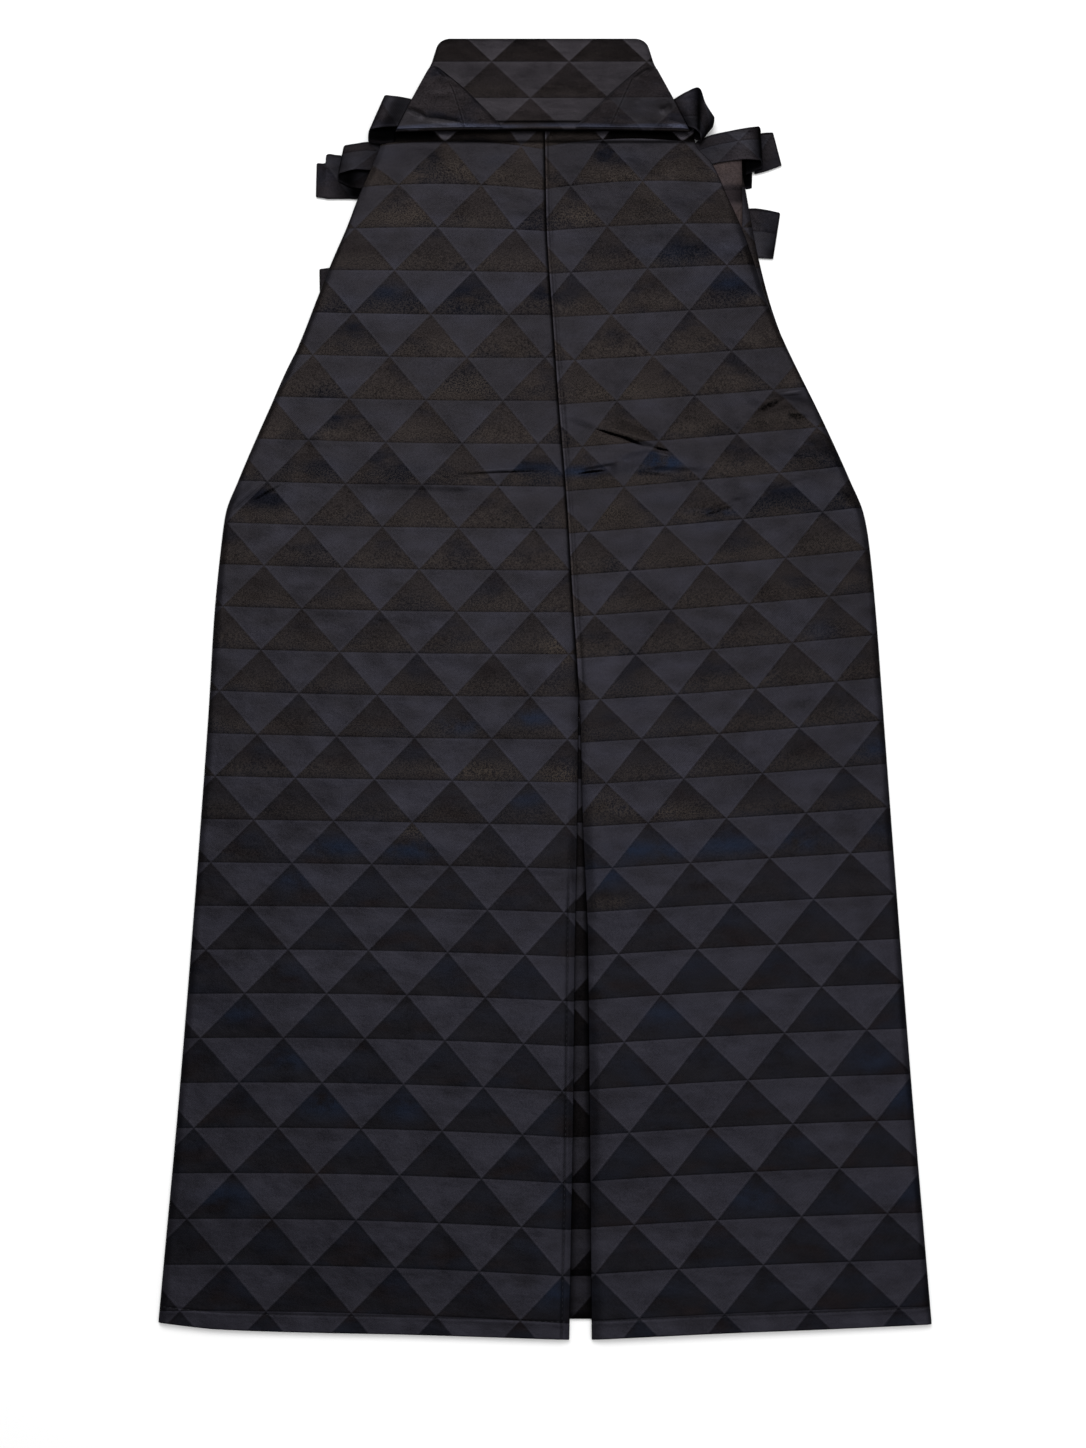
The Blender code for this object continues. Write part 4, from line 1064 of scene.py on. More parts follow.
def build_back_panels(settings, looks):
    """Both legs' backs, each one panel from the hem to the back board."""
    cloth = settings.hakama_cloth
    for side in WAY:
        node = f"back_leg_{side}"
        up = denser(cloth.rows, 0.0, PANEL_TOP, (
            (0.0, 0.006, 5), (cloth.hem, 0.003, 9), (0.66, 0.07, 1.6), (0.940, 0.006, 3)))
        share = denser(cloth.columns, 0.0, 1.0, ((0.0, 0.02, 5), (1.0, 0.02, 2)))
        face, weave, tones = facing_right(*back_face(side, up[:, None], share[None, :], cloth))
        piece = add_shell(f"{node}_cloth", face, cloth.wall, looks["creased"], weave, tones)
        paths = {"hem": hem_path(side, cloth)}
        if side == "left":
            paths["band"] = band_path(cloth)
        stitches = [stitch_piece(f"{node}_{label}_stitches", [path], cloth, looks["thread"])
                    for label, path in paths.items()]
        declare_cloth(node, face_area(face))


def hem_path(side, cloth):
    """Points of a back panel's face along its line of stitches above the hem."""
    share = np.linspace(*HEM_STITCHED, 500)
    return back_face(side, np.full_like(share, cloth.hem), share, cloth)[0]


def band_path(cloth):
    """Points of the left back's face along the stitches of its sewn band."""
    up = np.linspace(BAND_LOW, BAND_TOP, 700)
    inner = column(INNER_EDGE, "left", up)
    share = BAND_WIDE / (inner + column(SIDE_EDGE, "left", up))
    return back_face("left", up, share, cloth)[0]


def stitch_piece(name, paths, cloth, material):
    """Small spindles of thread, one a pitch, lying along the paths.

    A spindle's rings stand at shares of its half length, and their radius is that of an
    ellipse with blunt ends.
    """
    middles, headings = [], []
    for path in paths:
        run = run_along(path)
        count = max(2, int(run[-1] / cloth.stitch_pitch))
        at = (np.arange(count) + 0.5) * run[-1] / count
        middle, ahead, behind = (
            np.stack([np.interp(at + step, run, path[:, axis]) for axis in range(3)], axis=1)
            for step in (0.0, SPINDLE_STEP, -SPINDLE_STEP))
        middles.append(middle)
        headings.append(unit(ahead - behind))
    middle, heading = np.vstack(middles)[:, None, None], np.vstack(headings)[:, None, None]
    aside = unit(np.cross(heading, (0.0, 0.0, 1.0)))
    over = np.cross(aside, heading)
    along = np.array(SPINDLE_RINGS)
    ellipse = np.sqrt(np.clip(1 + SPINDLE_BLUNT - along**2, SPINDLE_BLUNT, 1))
    radius = cloth.thread / 2 * ellipse[:, None]
    turn = np.linspace(0, 2 * math.pi, SPINDLE_SIDES, endpoint=False)
    points = (middle + heading * (along * cloth.stitch / 2)[:, None, None]
              + aside * (radius * np.cos(turn))[..., None]
              + over * (radius * np.sin(turn))[..., None])
    count = len(along) * SPINDLE_SIDES
    side = turned(quads(np.arange(count).reshape(-1, SPINDLE_SIDES), closed=True))
    cap = np.array(((0, 1, 2, 3), (0, 3, 4, 5)))
    one = np.vstack([side, cap, cap[:, ::-1] + count - SPINDLE_SIDES])
    faces = (one[None] + count * np.arange(len(middle))[:, None, None]).reshape(-1, 4)
    return add_piece(name, points, faces.tolist(), material)


def turned_back(x, level_from, level_to, way):
    """A half circle that carries the cloth from one level to another at a fold."""
    turn = np.linspace(0, math.pi, 9)[1:-1]
    radius = abs(level_from - level_to) / 2
    middle = (level_from + level_to) / 2
    lift = np.cos(turn) if level_from > level_to else -np.cos(turn)
    return x + way * radius * np.sin(turn), middle + radius * lift


def front_row(side, up):
    """One row across a front panel: the path that folds back at each pleat.

    From each fold's ramp the path climbs to the pleat's top layer, turns back over
    itself at the pleat's depth, runs back to the fold and turns under again.
    """
    way = WAY[side]
    low, middle, high = PLEAT_LEVELS
    ramp_from, ramp_to = PLEAT_RAMP
    toward_waist = up / FRONT_TOP
    hem_x, split_x = FRONT_INNER[side]
    inner = np.interp(up, (0, SPLIT_TOP, FRONT_TOP), (hem_x, split_x, FRONT_INNER_WAIST[side]))
    outer = way * float(column(FRONT_EDGE, side, up))
    depth = np.interp(toward_waist, (0, 1), PLEAT_DEPTH[::-1])
    ramp = np.linspace(ramp_from, ramp_to, 9)
    climb = low + (high - low) * soft_step((ramp_from - ramp) / (ramp_from - ramp_to))
    parts, start = [], inner
    for waist_x, hem_x in PLEATS[side]:
        fold = way * np.interp(toward_waist, (0, 1), (hem_x, waist_x))
        deep = fold + way * depth
        parts += [(np.linspace(start, fold - way * ramp_from, 12)[:-1], low),
                  (fold - way * ramp, climb),
                  (np.linspace(fold, deep, FOLD_POINTS), high),
                  turned_back(deep, high, middle, way),
                  (np.linspace(deep, fold, FOLD_POINTS), middle),
                  turned_back(fold, middle, low, -way)]
        start = fold
    lift = float(column(SIDE_LIFT, "lift", up)) if side == "right" else 0.0
    side_x = np.linspace(start, outer, 24)
    lift_from, lift_to = SIDE_LIFT_RAMP
    step = (lift_from - np.abs(outer - side_x)) / (lift_from - lift_to)
    parts.append((side_x, low + lift * soft_step(step)))
    x, z = (np.concatenate(part) for part in zip(*(np.broadcast_arrays(*p) for p in parts)))
    across = np.clip((x - inner) / (outer - inner), 0, 1)
    rise = column(HEM_RISE, side, across) * max(0.0, 1 - up / HEM_FADE)
    return place(x, up + rise, z)


def build_front_panels(settings, looks):
    """Both legs' fronts with their knife pleats, pressed flat under the backs."""
    cloth = settings.hakama_cloth
    for side, way in WAY.items():
        node = f"front_leg_{side}"
        up = denser(FRONT_ROWS, 0.0, FRONT_TOP, (
            (0.0, 0.01, 4), (cloth.hem, 0.003, 6), (0.835, 0.02, 2)))
        face = np.array([front_row(side, row_up) for row_up in up])
        run = run_along(face)
        weave = np.stack([way * run / WEAVE_WIDE + FRONT_WEAVE,
                          (WEAVE_START[side][1] - up)[:, None] / WEAVE_TALL + 0 * run], axis=-1)
        tones = sheen_fields(face[..., 0] + OFF_CHART, up[:, None] + 0 * run, down_the_row(weave))
        face[..., 2] += rumple(face[..., 0] + OTHER_WAVES, face[..., 1], cloth.rumple * 0.5)
        face[..., 2] = np.maximum(face[..., 2], cloth.wall * 0.5 + 0.0001)
        face, weave, tones = facing_right(face, weave, tones)
        piece = add_shell(f"{node}_cloth", face, cloth.wall, looks["jacquard"], weave, tones, 0.5)
        declare_cloth(node, face_area(face))


def straight_grid(ups, ends, counts):
    """Evenly spaced places: a column of them along the length and a row across."""
    rows, columns = counts
    return np.linspace(ups[0], ups[-1], rows)[:, None], np.linspace(*ends, columns)[None, :]


def flat_weave(x, up, start, wide=WEAVE_WIDE, tall=WEAVE_TALL):
    """Weave map of a piece laid straight, from a point where its triangles meet."""
    return np.stack(np.broadcast_arrays((x - start[0]) / wide, (start[1] - up) / tall), axis=-1)


def build_gusset(settings, looks):
    """The flat piece between the legs that closes the split."""
    cloth = settings.hakama_cloth
    up, across = straight_grid(GUSSET["up"], (-1, 1), GUSSET_GRID)
    x = GUSSET_MIDDLE + across * column(GUSSET, "half", up)
    weave = flat_weave(x, up, GUSSET_WEAVE)
    weave[..., 0] += 0.5 * (up < GUSSET_FOLD)
    z = GUSSET_HIGH + GUSSET_PUFF * np.abs(np.sin(math.pi * weave[..., 1])) * (1 - across**2)
    face = place(x, up, z)
    open_half = (column(INNER_EDGE, "right", up) - column(INNER_EDGE, "left", up)) / 2
    off = np.abs(x - GUSSET_MIDDLE) / np.maximum(open_half, 0.001)
    middle_shade, edge_shade, recess = GUSSET_SHADE
    tones = plain_fields(x, 0.5, middle_shade + edge_shade * soft_step(off - GUSSET_SHADE_FROM))
    tones["recess"] += recess
    wall = cloth.wall * GUSSET_THIN
    piece = add_shell("gusset_cloth", face, wall, looks["jacquard"], weave, tones)
    declare_cloth("gusset", face_area(face))


def build_side_fold(settings, looks):
    """The turned-back edge of the right front in the side opening, reverse side up."""
    cloth = settings.hakama_cloth
    up, across = straight_grid(SIDE_FOLD["up"], (0, 1), SIDE_FOLD_GRID)
    inner, outer = column(SIDE_FOLD, "inner", up), column(SIDE_FOLD, "outer", up)
    x = inner + across * (outer - inner)
    (ridge_up, *ridge), (dip_up, *dip) = SIDE_FOLD_RIDGE, SIDE_FOLD_DIP
    z = (SIDE_FOLD_HIGH - groove(up - ridge_up, *ridge) * soft_step(across * 2)
         + groove(up - dip_up, *dip) + SIDE_FOLD_LIFT * across**2)
    face = place(x, up, z)
    weave = flat_weave(x, up, GUSSET_WEAVE)
    shade = column(SIDE_FOLD_SHADE, "shade", up) + 0.5 * across**6
    tones = plain_fields(x, shade=shade)
    tones["gleam"] += column(SIDE_FOLD_SHADE, "gleam", up)
    piece = add_shell("side_fold_right_cloth", face, cloth.wall, looks["reverse"], weave, tones)
    declare_cloth("side_fold_right", face_area(face))


def board_face(station, share, face, rounded=True):
    """A point of the board: station -1 to 1 across, share 0 to 1 from its lower edge up.

    face is 1 on the upper face and -1 on the underside. The lower edge arches, the
    upper corners are arcs, and a rounded face falls to each edge in a quarter ellipse.
    """
    half_top = BOARD["half"][-1]
    into_corner = np.clip(np.abs(station) * half_top - (half_top - BOARD_CORNER), 0, BOARD_CORNER)
    top = BOARD_HIGH - (BOARD_CORNER - np.sqrt(BOARD_CORNER**2 - into_corner**2))
    bottom = BOARD_LOW + BOARD_BOW * (1 - station**2)
    up = bottom + share * (top - bottom)
    half = np.interp(up, BOARD["up"], BOARD["half"])
    x = BOARD_MIDDLE + station * half
    along = (up - BOARD_LOW) / BOARD_TALL
    thick, under = (ends["lower"] + along * (ends["upper"] - ends["lower"])
                    for ends in (BOARD_THICK, BOARD_UNDER))
    fall = 1.0
    if rounded:
        to_edge = np.clip(np.minimum(share, 1 - share) * (top - bottom) / BOARD_ROLL, 0, 1)
        to_side = np.clip(half * (1 - np.abs(station)) / BOARD_ROLL, 0, 1)
        fall = np.sqrt((1 - (1 - to_edge) ** 2) * (1 - (1 - to_side) ** 2))
        fall = np.maximum(fall, BOARD_LEAST)
    if face > 0 and rounded:
        place_groove, half_groove, deep = BOARD_GROOVE
        low_groove = groove(up - bottom - place_groove, half_groove, deep)
        fall = fall + 2 * low_groove / thick * soft_step((1 - np.abs(station)) * 4)
    return place(x, up, under + thick / 2 + face * thick / 2 * fall)


def roll_gleam(tones, x, above):
    """A cool gleam, uneven along the roll of the board's lower edge, by x and height."""
    sway, slow, quick = GLEAM_WAVES
    shade, half = ROLL_SHADE
    middle = GLEAM_HIGH + GLEAM_SWAY * np.sin(sway * x + 1.0)
    strength = GLEAM_MEAN + GLEAM_SWING * np.sin(slow * x + 2.0) * np.sin(quick * x)
    tones["gleam"] += strength * bell(above - middle, GLEAM_HALF, 4)
    tones["shade"] += shade * bell(above, half)


def build_back_board(settings, looks):
    """The stiff board at the back of the waist, covered with the cloth of the legs."""
    stations = denser(BOARD_GRID[0], -1.0, 1.0, ((-1.0, 0.03, 6), (1.0, 0.03, 6)))
    shares = denser(BOARD_GRID[1], 0.0, 1.0, ((0.0, 0.05, 5), (0.09, 0.03, 4), (1.0, 0.04, 5)))
    rings = np.array([np.vstack([board_face(at, shares, 1), board_face(at, shares[::-1], -1)])
                      for at in stations])[:, ::-1]
    x, up = seen_from_above(rings.reshape(-1, 3))
    weave = flat_weave(x, up, *BOARD_WEAVE)
    tones = dict(sheen_fields(x, up, down_the_row(weave)), warm=np.full_like(x, BOARD_WARMTH))
    above = up - BOARD_LOW - BOARD_BOW * (1 - ((x - BOARD_MIDDLE) / BOARD["half"][0]) ** 2)
    roll_gleam(tones, x, above)
    fold_half, fold_shade, reach, fade = BOARD_FOLD
    fold = bell(above - BOARD_GROOVE[0], fold_half)
    tones["shade"] += fold_shade * fold * soft_step((reach - np.abs(x + 0.003)) / fade)
    starts, over, recess = BOARD_TOP_ROW
    tones["recess"] += recess * soft_step((up - starts) / over)
    piece = add_loft("back_board_cover", rings, looks["board"], weave, tones)
    wide = 2 * BOARD["half"][0]
    area = BOARD_SHARE * wide * BOARD_TALL
    declare_cloth("back_board", area)


def strap_end_stations(side, shares):
    """Stations on the board of a strap end's outer edge and of its slanting edge."""
    edge = WAY[side] * np.interp(shares, STRAP_END["share"], STRAP_END[side])
    half = np.interp(BOARD_LOW + shares * BOARD_TALL, BOARD["up"], BOARD["half"])
    return WAY[side] * STRAP_END_OUTER, (edge - BOARD_MIDDLE) / half, half


def from_seam(side, x, up):
    """How far a point lies to the right of the double seam, and how much seam is there."""
    ups, places = STRAP_END_SEAM[side]
    return x - np.interp(up, ups, places), soft_step((ups[-1] - up) / STRAP_END_SEAM_FADE)


def strap_end_face(side, columns, shares, cloth):
    """A strap's end: the board's unrounded face moved out by gap and wall, with creases."""
    outer, inner, _ = strap_end_stations(side, shares)
    station = outer + columns * (inner - outer)
    points = board_face(station, shares, 1, rounded=False)
    points += np.array((0, 0, SEAM_GAP + cloth.wall))
    x, up = seen_from_above(points)
    away, sewn = from_seam(side, x, up)
    seam = groove(away, *STRAP_END_GROOVE) - groove(away, *STRAP_END_WELT)
    points[..., 2] += crease_height(x, up, STRAP_END_CREASES[side]) + sewn * seam
    deep, reach = STRAP_END_DIP
    points[..., 2] -= deep * bell(columns - 1, reach)
    return points


def build_strap_ends(settings, looks):
    """The two strap ends sewn flat over the board's lower corners.

    The stitches follow the double seam: its place at a height gives a station, the face
    gives that station's height, and three rounds bring both together.
    """
    cloth = settings.hakama_cloth
    for side in WAY:
        shares, columns = straight_grid(STRAP_END["share"], (0, 1), STRAP_END_GRID)
        face = strap_end_face(side, columns, shares, cloth)
        x, up = seen_from_above(face)
        weave = flat_weave(x, up, *BOARD_WEAVE)
        if side == "left":
            light = soft_step((np.interp(x, *STRAP_END_LIGHT) - up) / STRAP_END_FADE + 0.5)
            # The point goes from a dark triangle, at 0 and 0.65, to a light one
            weave = np.stack([0.5 * light, 0.65 - 0.3 * light], axis=-1)
        # Painted light and shade: each end lit up as a whole, with the charted spots, the seam's
        # lines and the rolled edge's gleam
        tones = plain_fields(x, STRAP_END_WARMTH, STRAP_END_TONE[side])
        add_spots(tones["shade"], x, up, STRAP_END_SHADE[side])
        away, sewn = from_seam(side, x, up)
        tones["shade"] += sewn * sum(tone * bell(np.abs(away) - off, half)
                                     for tone, off, half in STRAP_END_LINES)
        roll_gleam(tones, x, shares * BOARD_TALL)
        face, weave, tones = facing_right(face, weave, tones)
        node = f"strap_end_{side}"
        piece = add_shell(f"{node}_cloth", face, cloth.wall, looks["strap"], weave, tones)
        lines = []
        for offset in (-STITCH_HALF, STITCH_HALF):
            share = np.linspace(*STRAP_END_SEWN, 200)
            outer, inner, half = strap_end_stations(side, share)
            at = BOARD_LOW + share * BOARD_TALL
            for _ in range(3):
                station = (np.interp(at, *STRAP_END_SEAM[side]) + offset - BOARD_MIDDLE) / half
                row = strap_end_face(side, (station - outer) / (inner - outer), share, cloth)
                at = seen_from_above(row)[1]
            lines.append(row)
        stitches = stitch_piece(f"{node}_stitches", lines, cloth, looks["thread"])
        declare_cloth(node, face_area(face))


def smooth_rows(table, steps):
    """Rows of a loop's table in metres, with points of a smooth curve between them.

    A row's first six numbers are in millimetres and its last two are shades. Each span
    is a cubic whose end slopes are the neighbouring spans' slopes, weighed by their
    lengths, so that a short turn between two long runs doesn't swing wide.
    """
    rows = np.array(table) / ((1000,) * 6 + (1, 1))
    stops = run_along(rows[:, :6])
    at = np.interp(np.arange(steps * (len(rows) - 1) + 1), np.arange(len(rows)) * steps, stops)
    return np.stack([between(at, stops, rows[:, k], False) for k in range(rows.shape[1])], axis=1)


def loop_stations(out, back):
    """Stations of a loop and their shades: the run out, a half circle, the run back.

    A point of the turn is the middle of the two run ends, plus the cosine of its angle
    towards the upper end, plus the sine of it outwards by half the height between them.
    """
    out = smooth_rows(out, LOOP_STEPS)
    if not back:
        return out[:, :6], out[:, 6:]
    back = smooth_rows(back, LOOP_STEPS)
    above, below = out[-1, :6].reshape(2, 3), back[0, :6].reshape(2, 3)
    ahead = np.diff(out[-2:, :6].reshape(2, 2, 3).mean(axis=1), axis=0)[0] * (1, 1, 0)
    ahead /= np.linalg.norm(ahead)
    reach = (above - below)[:, 2:] / 2
    angles = np.radians(np.arange(LOOP_TURN_STEP, 180, LOOP_TURN_STEP))[:, None, None]
    turn = ((above + below) / 2 + np.cos(angles) * (above - below) / 2
            + np.sin(angles) * reach * ahead).reshape(-1, 6)
    share = angles[:, 0] / math.pi
    turn_shade = out[-1, 6:] + share * (back[0, 6:] - out[-1, 6:])
    return (np.vstack([out[:, :6], turn, back[:, :6]]),
            np.vstack([out[:, 6:], turn_shade, back[:, 6:]]))


def build_strap_loops(settings, looks):
    """The straps' folded ends beside the waist, each ruled between its two edges."""
    cloth = settings.hakama_cloth
    share = np.linspace(0, 1, LOOP_COLUMNS)[:, None]
    along, across, wide = LOOP_WEAVE
    edge_shade, reach = LOOP_EDGE
    for number, (node, runs) in enumerate(LOOPS.items()):
        stations, shades = loop_stations(*runs)
        far, near = stations[:, None, :3], stations[:, None, 3:]
        points = near + share * (far - near)
        crown = STRAP_CROWN * (1 - (2 * share[:, 0] - 1) ** 2)
        points = place(points[..., 0], points[..., 1], points[..., 2] + crown)
        run = run_along(points.mean(axis=1))
        weave = np.stack(np.broadcast_arrays(run[:, None] / WEAVE_WIDE + along * number,
                                             -share[:, 0] * wide + across * number), axis=-1)
        shade = shades[:, 1:] + share[:, 0] * (shades[:, :1] - shades[:, 1:])
        shade = shade - edge_shade * bell(np.minimum(share, 1 - share)[:, 0], reach)
        face, weave = np.swapaxes(points, 0, 1), np.swapaxes(weave, 0, 1)
        plain = plain_fields(face[..., 0], LOOP_WARMTH, shade.T)
        piece = add_shell(f"{node}_cloth", face, cloth.wall, looks["strap"], weave, plain, 0.5)
        width = float(np.linalg.norm(far - near, axis=-1).max())
        declare_cloth(node, face_area(face))


def layered_section(low, high, bottom, top, layers):
    """Outline of a flat stack of folds: each layer ends in its own half circle."""
    radius = (top - bottom) / layers / 2
    turn = np.linspace(-math.pi / 2, math.pi / 2, 7)
    levels = bottom + radius * (2 * np.arange(layers)[:, None] + 1)
    right = np.stack([np.broadcast_to(high - radius + radius * np.cos(turn), (layers, 7)),
                      levels + radius * np.sin(turn)], axis=-1).reshape(-1, 2)
    left = np.stack([low + high - right[:, 0], right[:, 1]], axis=-1)[::-1]
    inset = 4 * radius
    return np.vstack([[(high - inset, bottom)], right, [(high - inset, top)],
                      [(low + inset, top)], left, [(low + inset, bottom)]])


def build_folded_straps(settings, looks):
    """The straps folded away under the garment and the band of the front waist."""
    for node, (low, high, layers) in BUNDLES.items():
        rings = []
        for share, trim in BUNDLE_RINGS:
            x = low[0] + share * (high[0] - low[0])
            section = layered_section(low[1] + trim, high[1] - trim, low[2], high[2], layers)
            rings.append(place(x, section[:, 0], section[:, 1]))
        add_bundle(node, np.array(rings), looks)
    low, high, thick = BACK_BUNDLE["low"], BACK_BUNDLE["high"], BACK_BUNDLE["thick"]
    fall = (BOARD_UNDER["lower"] - BOARD_UNDER["upper"]) / BOARD_TALL
    rings = []
    for station, trim in BACK_BUNDLE_RINGS:
        section = layered_section(low + trim, high - trim, 0.0, thick, BACK_BUNDLE["layers"])
        under = BOARD_UNDER["lower"] - fall * (section[:, 0] - BOARD_LOW)
        z = np.minimum(under - SEAM_GAP - thick + section[:, 1], BOARD_UNDER["lower"])
        rings.append(place(BOARD_MIDDLE + station * BACK_BUNDLE["half"], section[:, 0], z))
    add_bundle("back_strap_bundle", np.array(rings), looks)


def add_bundle(node, rings, looks):
    """One stack of folded strap as a closed solid with its layers at the edges."""
    x, up = seen_from_above(rings.reshape(-1, 3))
    weave = flat_weave(x, up, BUNDLE_WEAVE)
    plain = plain_fields(x, shade=BUNDLE_SHADE.get(node, 0.0))
    piece = add_loft(f"{node}_cloth", rings, looks["strap"], weave, plain)
    declare_cloth(node, None)


def build_stage(settings, looks):
    """A pale floor, an even sky, two soft lights and the camera over the garment."""
    studio = settings.hakama_studio
    mesh = bpy.data.meshes.new("floor")
    corners = np.array(((-1, -1, 0), (1, -1, 0), (1, 1, 0), (-1, 1, 0))) * FLOOR_SIZE / 2
    mesh.from_pydata(corners.tolist(), [], [(0, 1, 2, 3)])
    floor = bpy.data.objects.new("floor", mesh)
    mesh.materials.append(looks["floor"])
    world = bpy.data.worlds.new("studio")
    world.use_nodes = True
    sky = world.node_tree.nodes["Background"].inputs
    sky["Color"].default_value = (1.0, 1.0, 1.0, 1.0)
    sky["Strength"].default_value = studio.fill
    bpy.context.scene.world = world
    lights = []
    for name, (spot, size) in LIGHTS.items():
        data = bpy.data.lights.new(name, "AREA")
        data.shape = "SQUARE"
        data.size, data.energy = size, getattr(studio, name)
        light = bpy.data.objects.new(name, data)
        light.location = spot
        light.rotation_euler = (-Vector(spot)).to_track_quat("-Z", "Y").to_euler()
        lights.append(light)
    data = bpy.data.cameras.new("camera")
    data.sensor_width = 36.0
    data.lens = studio.lens
    camera = bpy.data.objects.new("camera", data)
    camera.location = (studio.aim[0], studio.aim[1] - studio.distance * math.sin(studio.tilt),
                       studio.distance * math.cos(studio.tilt))
    camera.rotation_euler = (studio.tilt, 0.0, 0.0)
    for thing in (floor, *lights, camera):
        bpy.context.scene.collection.objects.link(thing)
    bpy.context.scene.camera = camera
    bpy.context.scene.view_settings.view_transform = "Standard"


class HAKAMA_PG_cloth(bpy.types.PropertyGroup):
    """Sizes of the cloth and its sewing."""

    wall: FloatProperty(name="Wall", description="Thickness of one layer of cloth",
                        default=0.0009, min=0.0003, max=0.0011, unit="LENGTH")
    hem: FloatProperty(name="Hem", description="Height of the hem's line of stitches",
                       default=0.0125, min=0.005, max=0.04, unit="LENGTH")
    puff: FloatProperty(name="Puff", description="How much the woven rows stand up",
                        default=1.0, min=0.0, max=2.0, subtype="FACTOR")
    rumple: FloatProperty(name="Rumple", description="Height of the long waves by length",
                          default=0.0008, min=0.0, max=0.003)
    stitch: FloatProperty(name="Stitch", description="Length of one stitch that shows",
                          default=0.0022, min=0.001, max=0.008, unit="LENGTH")
    stitch_pitch: FloatProperty(name="Stitch pitch", description="From stitch to stitch",
                                default=0.0045, min=0.002, max=0.02, unit="LENGTH")
    thread: FloatProperty(name="Thread", description="Thickness of the sewing thread",
                          default=0.0005, min=0.0002, max=0.001, unit="LENGTH")
    rows: IntProperty(name="Rows", description="Grid rows along a back panel",
                      default=330, min=60, max=500)
    columns: IntProperty(name="Columns", description="Grid columns across a back panel",
                         default=130, min=30, max=200)


class HAKAMA_PG_colours(bpy.types.PropertyGroup):
    """Colours of the cloth's two weaves and of its painted sheen, shade and highlights."""

    light: FloatVectorProperty(name="Light", description="Light triangles", subtype="COLOR",
                               default=(0.0129, 0.0120, 0.0141))
    dark: FloatVectorProperty(name="Dark", description="Dark triangles", subtype="COLOR",
                              default=(0.0055, 0.0053, 0.0066))
    # Painted warm sheen of the dark triangles by the waist
    warm: FloatVectorProperty(name="Warm", description="Dark triangles by the waist",
                              subtype="COLOR", default=(0.0120, 0.0098, 0.0094))
    gold: FloatVectorProperty(name="Gold", description="Golden sheen", subtype="COLOR",
                              default=(0.0184, 0.0150, 0.0128))
    brown: FloatVectorProperty(name="Brown", description="Brown sheen by the hem",
                               subtype="COLOR", default=(0.0080, 0.0059, 0.0061))
    shadow: FloatVectorProperty(name="Shadow", description="Clouds by the waist",
                                subtype="COLOR", default=(0.0034, 0.0036, 0.0054))
    gleam: FloatVectorProperty(name="Gleam", description="Gleam along a rolled edge",
                               subtype="COLOR", default=(0.0150, 0.0165, 0.0250))
    blue: FloatVectorProperty(name="Blue", description="Blue sheen", subtype="COLOR",
                              default=(0.0058, 0.0084, 0.0158))
    reverse: FloatVectorProperty(name="Reverse", description="Reverse of the cloth",
                                 subtype="COLOR", default=(0.0220, 0.0165, 0.0160))
    strap: FloatVectorProperty(name="Strap", description="Ground of the straps",
                               subtype="COLOR", default=(0.0105, 0.0096, 0.0108))
    thread: FloatVectorProperty(name="Thread", description="Sewing thread", subtype="COLOR",
                                default=(0.0080, 0.0080, 0.0100))


class HAKAMA_PG_studio(bpy.types.PropertyGroup):
    """Lights and camera."""

    fill: FloatProperty(name="Fill", description="Strength of the even sky",
                        default=0.42, min=0.0, max=5.0)
    key: FloatProperty(name="Key", description="Power of the light beyond the waist",
                       default=27.0, min=0.0, max=500.0, unit="POWER")
    top: FloatProperty(name="Top", description="Power of the light overhead",
                       default=30.0, min=0.0, max=500.0, unit="POWER")
    aim: FloatVectorProperty(name="Aim", description="Point on the table looked at", size=2,
                             default=(-0.0015, -0.0507), unit="LENGTH")
    distance: FloatProperty(name="Distance", description="From the camera to that point",
                            default=1.8, min=0.5, max=10.0, unit="LENGTH")
    tilt: FloatProperty(name="Tilt", description="Lean from straight above to the hem",
                        default=math.radians(9), min=0.0, max=1.4, unit="ROTATION")
    lens: FloatProperty(name="Lens", description="Focal length in millimetres",
                        default=57.37, min=10.0, max=300.0)


def make_looks(colours):
    """Every material, by the name the pieces ask for it."""
    given = {name: tuple(getattr(colours, name)) for name in colours.__annotations__}
    light, strap, reverse = given["light"], given["strap"], given["reverse"]
    # light_cool and dark_warm are the painted cool sheen towards the hem and warm sheen towards
    # the waist
    figured = dict(given, light_cool=lit(light, 1.13, 1.17, 1.30), dark_warm=given["warm"],
                   pale_blue=lit(given["gleam"], 0.80, 0.80, 0.82), cloud=0.8,
                   rough=0.46, metal=0.7, specular=0.05, rim=(0.1, 0.1, 0.12, 1.0))
    # Painted light: the board's cover gets lighter copies of the cloth's dark and light colours,
    # as its tilted face shows brighter
    stiff = lit(given["dark"], 1.95, 1.75, 1.50)
    pale = lit(light, 1.80, 1.75, 1.70)
    board = dict(figured, light=pale, light_cool=pale, dark=stiff, brown=stiff, blue=stiff,
                 shadow=stiff, dark_warm=lit(stiff, 1.3, 1.2, 1.15))
    plain = dict(figured, light=strap, light_cool=lit(strap, 0.95, 1.02, 1.15),
                 dark=lit(strap, 0.75, 0.75, 0.8), dark_warm=lit(strap, 0.85, 0.78, 0.74))
    back = dict(figured, light=reverse, light_cool=lit(reverse, 1.1, 1.1, 1.15),
                dark=reverse, dark_warm=reverse, shadow=reverse, metal=0.2)
    floor = {"Base Color": (0.9, 0.9, 0.9, 1.0), "Roughness": 0.9, "Specular IOR Level": 0.1}
    return {"jacquard": woven_material("jacquard", figured),
            # The backs' cloth, with painted shade and highlights along its sharp folds
            "creased": woven_material("creased", figured, STROKES),
            "board": woven_material("board", board),
            "strap": woven_material("strap", plain),
            "reverse": woven_material("reverse", back),
            "thread": thread_material("thread", given["thread"]),
            "floor": Shade("floor").finish(floor)}


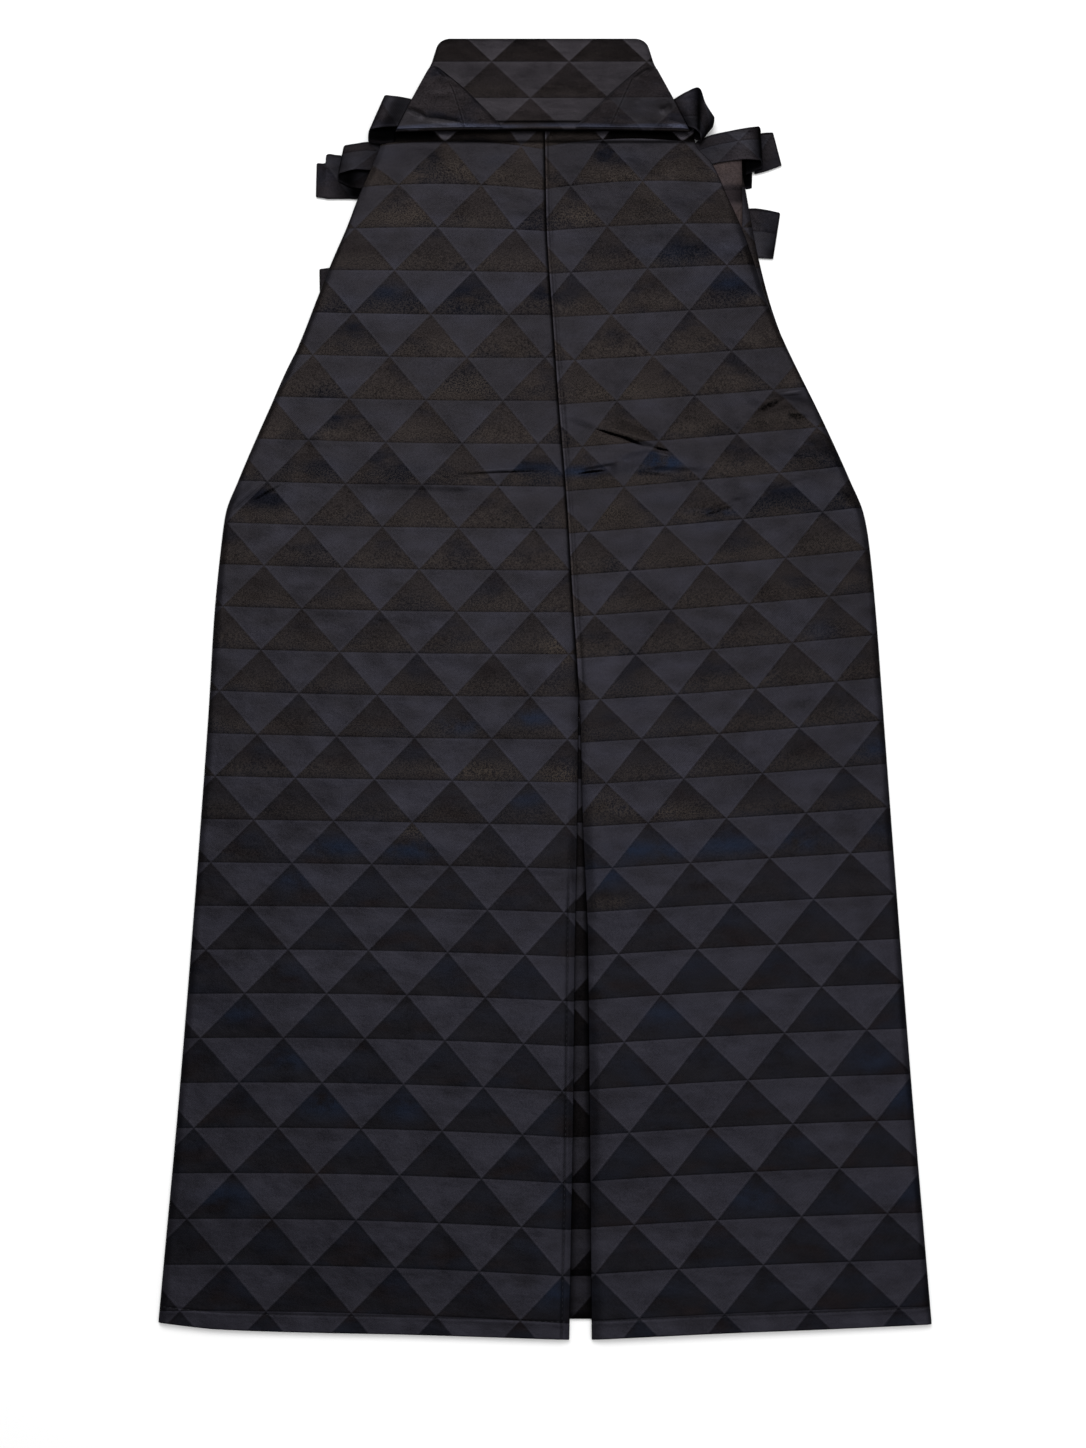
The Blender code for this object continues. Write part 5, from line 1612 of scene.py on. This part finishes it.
def looks():
    """The materials, made the first time they are asked for."""
    if not any("made" in material for material in bpy.data.materials):
        for name, material in make_looks(bpy.context.scene.hakama_colours).items():
            material["made"] = name
    return {material["made"]: material for material in bpy.data.materials if "made" in material}


class HAKAMA_OT_back_panels(bpy.types.Operator):
    """Lay the backs of both legs, with their creases, hems and stitches"""

    bl_idname = "hakama.back_panels"
    bl_label = "Back panels"

    def execute(self, context):
        build_back_panels(context.scene, looks())
        return {"FINISHED"}


class HAKAMA_OT_front_panels(bpy.types.Operator):
    """Lay the pleated fronts of both legs"""

    bl_idname = "hakama.front_panels"
    bl_label = "Front panels"

    def execute(self, context):
        build_front_panels(context.scene, looks())
        return {"FINISHED"}


class HAKAMA_OT_gusset(bpy.types.Operator):
    """Lay the gusset that closes the split between the legs"""

    bl_idname = "hakama.gusset"
    bl_label = "Gusset"

    def execute(self, context):
        build_gusset(context.scene, looks())
        return {"FINISHED"}


class HAKAMA_OT_side_fold(bpy.types.Operator):
    """Lay the turned-back edge in the right side opening"""

    bl_idname = "hakama.side_fold"
    bl_label = "Side fold"

    def execute(self, context):
        build_side_fold(context.scene, looks())
        return {"FINISHED"}


class HAKAMA_OT_back_board(bpy.types.Operator):
    """Cover the stiff board at the back of the waist"""

    bl_idname = "hakama.back_board"
    bl_label = "Back board"

    def execute(self, context):
        build_back_board(context.scene, looks())
        return {"FINISHED"}


class HAKAMA_OT_strap_ends(bpy.types.Operator):
    """Sew both strap ends over the board's lower corners"""

    bl_idname = "hakama.strap_ends"
    bl_label = "Strap ends"

    def execute(self, context):
        build_strap_ends(context.scene, looks())
        return {"FINISHED"}


class HAKAMA_OT_strap_loops(bpy.types.Operator):
    """Fold the ends of the straps that show beside the waist"""

    bl_idname = "hakama.strap_loops"
    bl_label = "Strap loops"

    def execute(self, context):
        build_strap_loops(context.scene, looks())
        return {"FINISHED"}


class HAKAMA_OT_folded_straps(bpy.types.Operator):
    """Stack the folded straps and the front band under the garment"""

    bl_idname = "hakama.folded_straps"
    bl_label = "Folded straps"

    def execute(self, context):
        build_folded_straps(context.scene, looks())
        return {"FINISHED"}


class HAKAMA_OT_stage(bpy.types.Operator):
    """Set up the floor, the lights and the camera"""

    bl_idname = "hakama.stage"
    bl_label = "Stage"

    def execute(self, context):
        build_stage(context.scene, looks())
        return {"FINISHED"}


class HAKAMA_PT_build(bpy.types.Panel):
    """The builders in order, with their settings."""

    bl_label = "Hakama"
    bl_idname = "HAKAMA_PT_build"
    bl_space_type = "VIEW_3D"
    bl_region_type = "UI"
    bl_category = "Hakama"

    def draw(self, context):
        for group in (context.scene.hakama_cloth, context.scene.hakama_colours,
                      context.scene.hakama_studio):
            box = self.layout.box()
            for name in group.__annotations__:
                box.prop(group, name)
        for operator in OPERATORS:
            self.layout.operator(operator.bl_idname)


GROUPS = {"hakama_cloth": HAKAMA_PG_cloth, "hakama_colours": HAKAMA_PG_colours,
          "hakama_studio": HAKAMA_PG_studio}
OPERATORS = (HAKAMA_OT_back_panels, HAKAMA_OT_front_panels, HAKAMA_OT_gusset, HAKAMA_OT_side_fold,
             HAKAMA_OT_back_board, HAKAMA_OT_strap_ends, HAKAMA_OT_strap_loops,
             HAKAMA_OT_folded_straps, HAKAMA_OT_stage)


def register():
    """Adds the settings, the operators and the panel."""
    for kind in (*GROUPS.values(), *OPERATORS, HAKAMA_PT_build):
        bpy.utils.register_class(kind)
    for name, kind in GROUPS.items():
        setattr(bpy.types.Scene, name, PointerProperty(type=kind))


def unregister():
    """Takes them away again, in the opposite order."""
    for name in GROUPS:
        delattr(bpy.types.Scene, name)
    for kind in (HAKAMA_PT_build, *reversed(OPERATORS), *GROUPS.values()):
        bpy.utils.unregister_class(kind)


def main():
    """Builds the whole scene."""
    register()
    bpy.ops.hakama.back_panels()
    bpy.ops.hakama.front_panels()
    bpy.ops.hakama.gusset()
    bpy.ops.hakama.side_fold()
    bpy.ops.hakama.back_board()
    bpy.ops.hakama.strap_ends()
    bpy.ops.hakama.strap_loops()
    bpy.ops.hakama.folded_straps()
    bpy.ops.hakama.stage()


if __name__ == "__main__":
    main()
